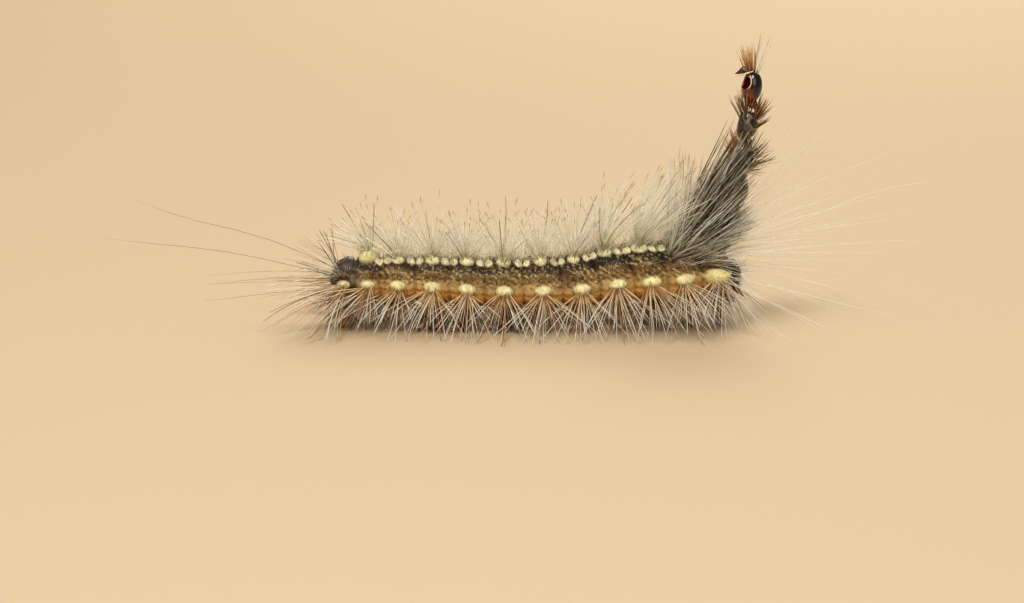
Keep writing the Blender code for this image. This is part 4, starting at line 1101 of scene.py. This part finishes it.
LONG_TAIL = (  # angle from the top, pitch, yaw, length and radius on the left of single hairs
    (48, 33, 22, 3.0, 0.0156), (34, 36, 10, 2.7, 0.0156), (74, 17.5, 26, 12.6, 0.0168),
    (88, 3, 10, 7.2, 0.0114), (104, 1, 16, 7.0, 0.0156), (82, 9, 26, 3.8, 0.0138),
    (96, 0, 22, 4.6, 0.0150), (62, 29, 20, 3.0, 0.0156),
)
RIGHT_TAIL_RADIUS = 0.0144
SHORT_TAIL = (  # count, angles from the top, pitches, lengths, radius and colours of hairs in groups
    (5, (24, 56), (50, 72), (1.9, 2.3), 0.022, TAIL_HAIR),
    (6, (56, 104), (-4, 34), (1.5, 2.8), 0.018, TAIL_HAIR),
    (16, (30, 118), (-20, 72), (1.0, 2.2), 0.012, FINE_HAIR),
)


def build_tail_hair():
    """Single long dark hairs round the edge of the tail's plate, with some short ones between."""
    coat = Coat(64)
    draw = coat.draw
    angle, pitch, yaw, length, left_radius = np.array(LONG_TAIL).T
    for side in (1, -1):
        fan_of(coat, np.linspace(0.34, 0.60, len(angle)), side * np.radians(angle), pitch, yaw, side, -1,
               length, left_radius if side > 0 else RIGHT_TAIL_RADIUS, LONG_TAIL_HAIR, tip=(0.3, 2.4))
        for count, angles, pitches, reach, radius, palette in SHORT_TAIL:
            theta = side * np.radians(draw.uniform(*angles, count))
            s = draw.uniform(0.10, 0.45, count)
            share = (np.degrees(np.abs(theta)) - angles[0]) / (angles[1] - angles[0])
            rise = pitches[1] + (pitches[0] - pitches[1]) * share + draw.normal(0, 6, count)
            fan_of(coat, s, theta, rise, draw.uniform(4, 50, count), side, -1,
                   draw.uniform(*reach, count), radius, palette, tip=BLUNT_TIP)
    coat.make("hair_tail", HAIR)


NECK_FANS = (  # count, least and greatest length, turn to the side, and radius
    (52, 2.2, 4.6, 58, 0.014), (42, 4.5, 8.0, 38, 0.013), (20, 8.0, 12.4, 22, 0.013),
)


def build_head_hair():
    """Long thin pale hairs that fan forward from the neck, over shorter brown ones on its back."""
    coat = Coat(65)
    draw = coat.draw
    for side in (1, -1):
        for count, low, high, turn, radius in NECK_FANS:
            angle = 14 + 114 * draw.uniform(0, 1, count) ** 1.9
            s = draw.uniform(18.5, 19.35, count)
            pitch = 50 - 0.74 * angle + draw.normal(0, 8, count)
            room = 2.5 / np.maximum(np.sin(np.radians(3 - pitch)), 0.05)
            yaw = draw.uniform(-4, turn, count) + 24 * ease(70, 110, angle)
            length = np.minimum(draw.uniform(low, high, count), room)
            fan_of(coat, s, side * np.radians(angle), pitch, yaw, side, 1, length, radius, HEAD_HAIR,
                   -0.06)
        count = BACK_NECK_HAIRS
        angle = draw.uniform(16, 76, count)
        s = draw.uniform(17.0, 19.2, count)
        pitch = 46 - 0.34 * angle + draw.normal(0, 6, count)
        fan_of(coat, s, side * np.radians(angle), pitch, draw.normal(8, 8, count), side, 1,
               draw.uniform(1.1, 2.7, count) * ease(104, 50, angle), 0.016, NECK_HAIR, -0.05)
    shell_bristles(coat, LIVING_HEAD, 70, 34, (-60, 40), (10, 130), -0.1, 0, (0.35, 0.8), 0.018,
                   HEAD_HAIR, 0.98)
    coat.make("hair_neck", HAIR)


TOWER_FANS = (  # hairs, pitches, lengths, yaw and colours of the last back wart but one
    (150, 33, 62, 3.4, 6.8, 1, TOWER_HAIR), (60, 34, 60, 3.4, 6.3, -9, TOWER_HAIR),
    (50, 48, 63, 5.6, 7.0, 2, TOWER_HAIR), (46, 62, 90, 3.8, 4.8, -4, DORSAL_HAIR),
)
FRONT_FANS = (  # the same of the last back wart
    (70, 20, 48, 1.6, 2.6, -2, TOWER_HAIR), (50, 16, 46, 1.8, 3.0, 4, HEAD_HAIR),
)


def build_tower_hair():
    """Dark and pale hairs of the last two back warts, which stand close round the shed heads."""
    coat = Coat(66)
    draw = coat.draw
    for wart in warts_of("dorsal")[-4:]:
        front = wart.s > SPANS["prothorax"][0]
        for count, low, high, short, long, yaw, palette in FRONT_FANS if front else TOWER_FANS:
            a, b = draw.uniform(-0.8, 0.8, (2, count))
            s = wart.s + a * wart.half_length * (1.0 if front else 1.5)
            b = b if front else b * 1.5 + 0.4
            theta = wart.theta + wart.side * b * wart.half_width / 1.3
            pitch = draw.uniform(low, high, count)
            length = short + (long - short) * ease(low, high, pitch) * draw.uniform(0.75, 1.1, count)
            fan_of(coat, s, theta, pitch, draw.normal(yaw, 6, count), wart.side, 1, length,
                   draw.uniform(0.018, 0.036, count), palette, -0.02, tip=(0.3, 3.0))
    coat.make("hair_tower", HAIR)


SHED_BRISTLES = palette_of(
    (4, 0x3A2414, 0x603E22, 0x78502E, 0x603E24),
    (2, 0x543820, 0x967048, 0xBE9C70, 0x96704C),
)
TOP_BRISTLES = palette_of(
    (4, 0x54381E, 0xAA7438, 0xC49254, 0xBE8E56),
    (1, 0x825A30, 0xCEA668, 0xE2C28A, 0xD6B480),
)
PALE_BRISTLES = palette_of(
    (3, 0x967C54, 0xE2D2AA, 0xF0E6C8, 0xE8DCBE),
    (1, 0x3C2A1C, 0x503A26, 0x5A422C, 0x543C28),
)


def shell_bristles(coat, head, count, locks, latitudes, headings, up, back, length, width, palette,
                   along):
    """Bristles of a head shell in a few locks, between two latitudes and two headings from straight
    ahead, in degrees. up and back pull them from square to the shell, and along is their unwrap's place."""
    draw = coat.draw
    lock = draw.integers(0, locks, count)
    height = np.radians(draw.uniform(*latitudes, locks)[lock] + draw.normal(0, 3, count))
    turn = np.radians(draw.uniform(*headings, locks) * draw.choice((-1, 1), locks))[lock]
    turn = turn + draw.normal(0, 0.05, count) - math.radians(head.yaw)
    unit = heading(height, turn)
    lean = draw.normal(0, 0.20, (locks, 3))[lock] + draw.normal(0, 0.04, (count, 3))
    ways = normal_of(head.direct(unit / head.radii) + np.array((-back, 0, up)) + lean)
    spots = np.stack((along + 0.016 * (turn / (2 * math.pi) + 0.5), 0.5 + 0.8 * height / math.pi), -1)
    bends = np.array((0, 0, 0.10)) + draw.normal(0, 0.04, (count, 3))
    coat.add(head.place(head_form(unit) * 0.97), ways, draw.uniform(*length, count), bends,
             draw.uniform(0.8, 1.2, count) * width, palette(draw, count), spots, push=False,
             tip=(0.2, 2.0))


BRISTLE_FANS = (  # shed head, hairs, locks, latitudes, headings, rise, back lean, lengths, radius, colours
    (0, 66, 24, (44, 86), (60, 180), 1.5, 0.24, (0.85, 1.40), 0.021, TOP_BRISTLES),
    (0, 6, 3, (62, 84), (20, 90), 2.4, -0.34, (1.6, 2.0), 0.040, HEAD_HAIR),
    (1, 60, 34, (20, 66), (0, 100), 0.8, 0, (0.65, 1.15), 0.026, SHED_BRISTLES),
    (1, 44, 24, (30, 66), (100, 180), 1.3, 0.1, (0.65, 1.15), 0.025, SHED_BRISTLES),
    (1, 20, 10, (-20, 24), (0, 80), 0.7, 0, (0.5, 0.9), 0.024, SHED_BRISTLES),
    (2, 44, 20, (0, 46), (110, 180), 1.2, 0.1, (0.6, 1.0), 0.023, TOP_BRISTLES),
    (2, 52, 28, (-48, 20), (0, 62), 0.75, 0, (0.90, 1.45), 0.026, SHED_BRISTLES),
    (2, 18, 10, (-44, 20), (0, 70), 0.80, 0, (0.7, 1.3), 0.023, PALE_BRISTLES),
    # Short thick pale bristles on top of the third shell, whose pale colour is a painted highlight between
    # the second and third shells.
    (2, 8, 4, (44, 76), (0, 70), 1.0, 0, (0.35, 0.6), 0.034, PALE_BRISTLES),
    (3, 16, 7, (10, 62), (90, 170), 0.7, 0, (0.7, 1.2), 0.024, SHED_BRISTLES),
    (4, 36, 14, (-20, 36), (0, 66), 0.75, 0, (0.8, 1.4), 0.020, PALE_BRISTLES),
    (4, 16, 7, (10, 60), (90, 170), 0.7, 0, (0.7, 1.2), 0.024, SHED_BRISTLES),
)


def build_bristles():
    coat = Coat(67)
    for number, *fan in BRISTLE_FANS:
        shell_bristles(coat, SHED_HEADS[number], *fan, 0.02 + 0.18 * number)
    coat.make("bristles", BRISTLE)


# Floor, light and camera

LIGHTS = (  # name, place in metres, size, power and colour
    ("key_light", (-0.05, -0.12, 0.25), 0.10, 0.62, rgb(0xFFF7EC)),
    ("fill_light", (0.06, -0.24, 0.15), 0.16, 0.20, rgb(0xFFFAF0)),
    ("rim_light", (0.05, 0.22, 0.16), 0.14, 0.44, rgb(0xFFF6E8)),
)
CAMERA_AIM = (8.95, 0.0, 1.15)  # s, y, z in mm of the photo's middle
CAMERA_ELEVATION = 12
CAMERA_DISTANCE = 175.0
FIELD_WIDTH = 51.2  # mm across the photo at the larva
SENSOR_WIDTH = 36.0


def hang(name, data, place, way):
    """A lamp or the camera at a place in metres, looking along way."""
    made = bpy.data.objects.new(name, data)
    made.location = place
    made.rotation_euler = way.to_track_quat("-Z", "Y").to_euler()
    bpy.context.scene.collection.objects.link(made)
    return made


def build_stage():
    bpy.ops.mesh.primitive_plane_add(size=4, location=(0, 0, -0.00002))
    floor = bpy.context.active_object
    floor.name = "floor"
    made, tree, shader = new_material("pale_floor")
    feed(tree, shader, Base_Color=(*rgb(0xC8B494), 1), Roughness=0.9)
    floor.data.materials.append(made)
    world = bpy.data.worlds.new("studio")
    world.use_nodes = True
    feed(world.node_tree, world.node_tree.nodes["Background"], Color=(*rgb(0xECE0CC), 1), Strength=0.30)
    bpy.context.scene.world = world
    bpy.context.scene.view_settings.view_transform = "Standard"
    for name, place, size, power, colour in LIGHTS:
        lamp = bpy.data.lights.new(name, "AREA")
        lamp.size, lamp.energy, lamp.color = size, power, colour
        hang(name, lamp, place, -Vector(place))


def build_camera():
    data = bpy.data.cameras.new("camera")
    data.sensor_fit, data.sensor_width = "HORIZONTAL", SENSOR_WIDTH
    data.lens = SENSOR_WIDTH * CAMERA_DISTANCE / FIELD_WIDTH
    data.clip_start, data.clip_end = 0.002, 20
    rise = math.radians(CAMERA_ELEVATION)
    back = Vector((0, -math.cos(rise), math.sin(rise)))
    aim = Vector(((CAMERA_AIM[0] - ORIGIN_S) * MM, 0, CAMERA_AIM[2] * MM))
    bpy.context.scene.camera = hang("camera", data, aim + back * CAMERA_DISTANCE * MM, -back)


build_camera()
build_skin()
build_plates()
build_spiracles()
build_head()
build_shed_heads()
build_legs()
build_crochets()
build_dorsal_hair()
build_side_hair()
build_lateral_hair()
build_tail_hair()
build_head_hair()
build_tower_hair()
build_bristles()
build_stage()
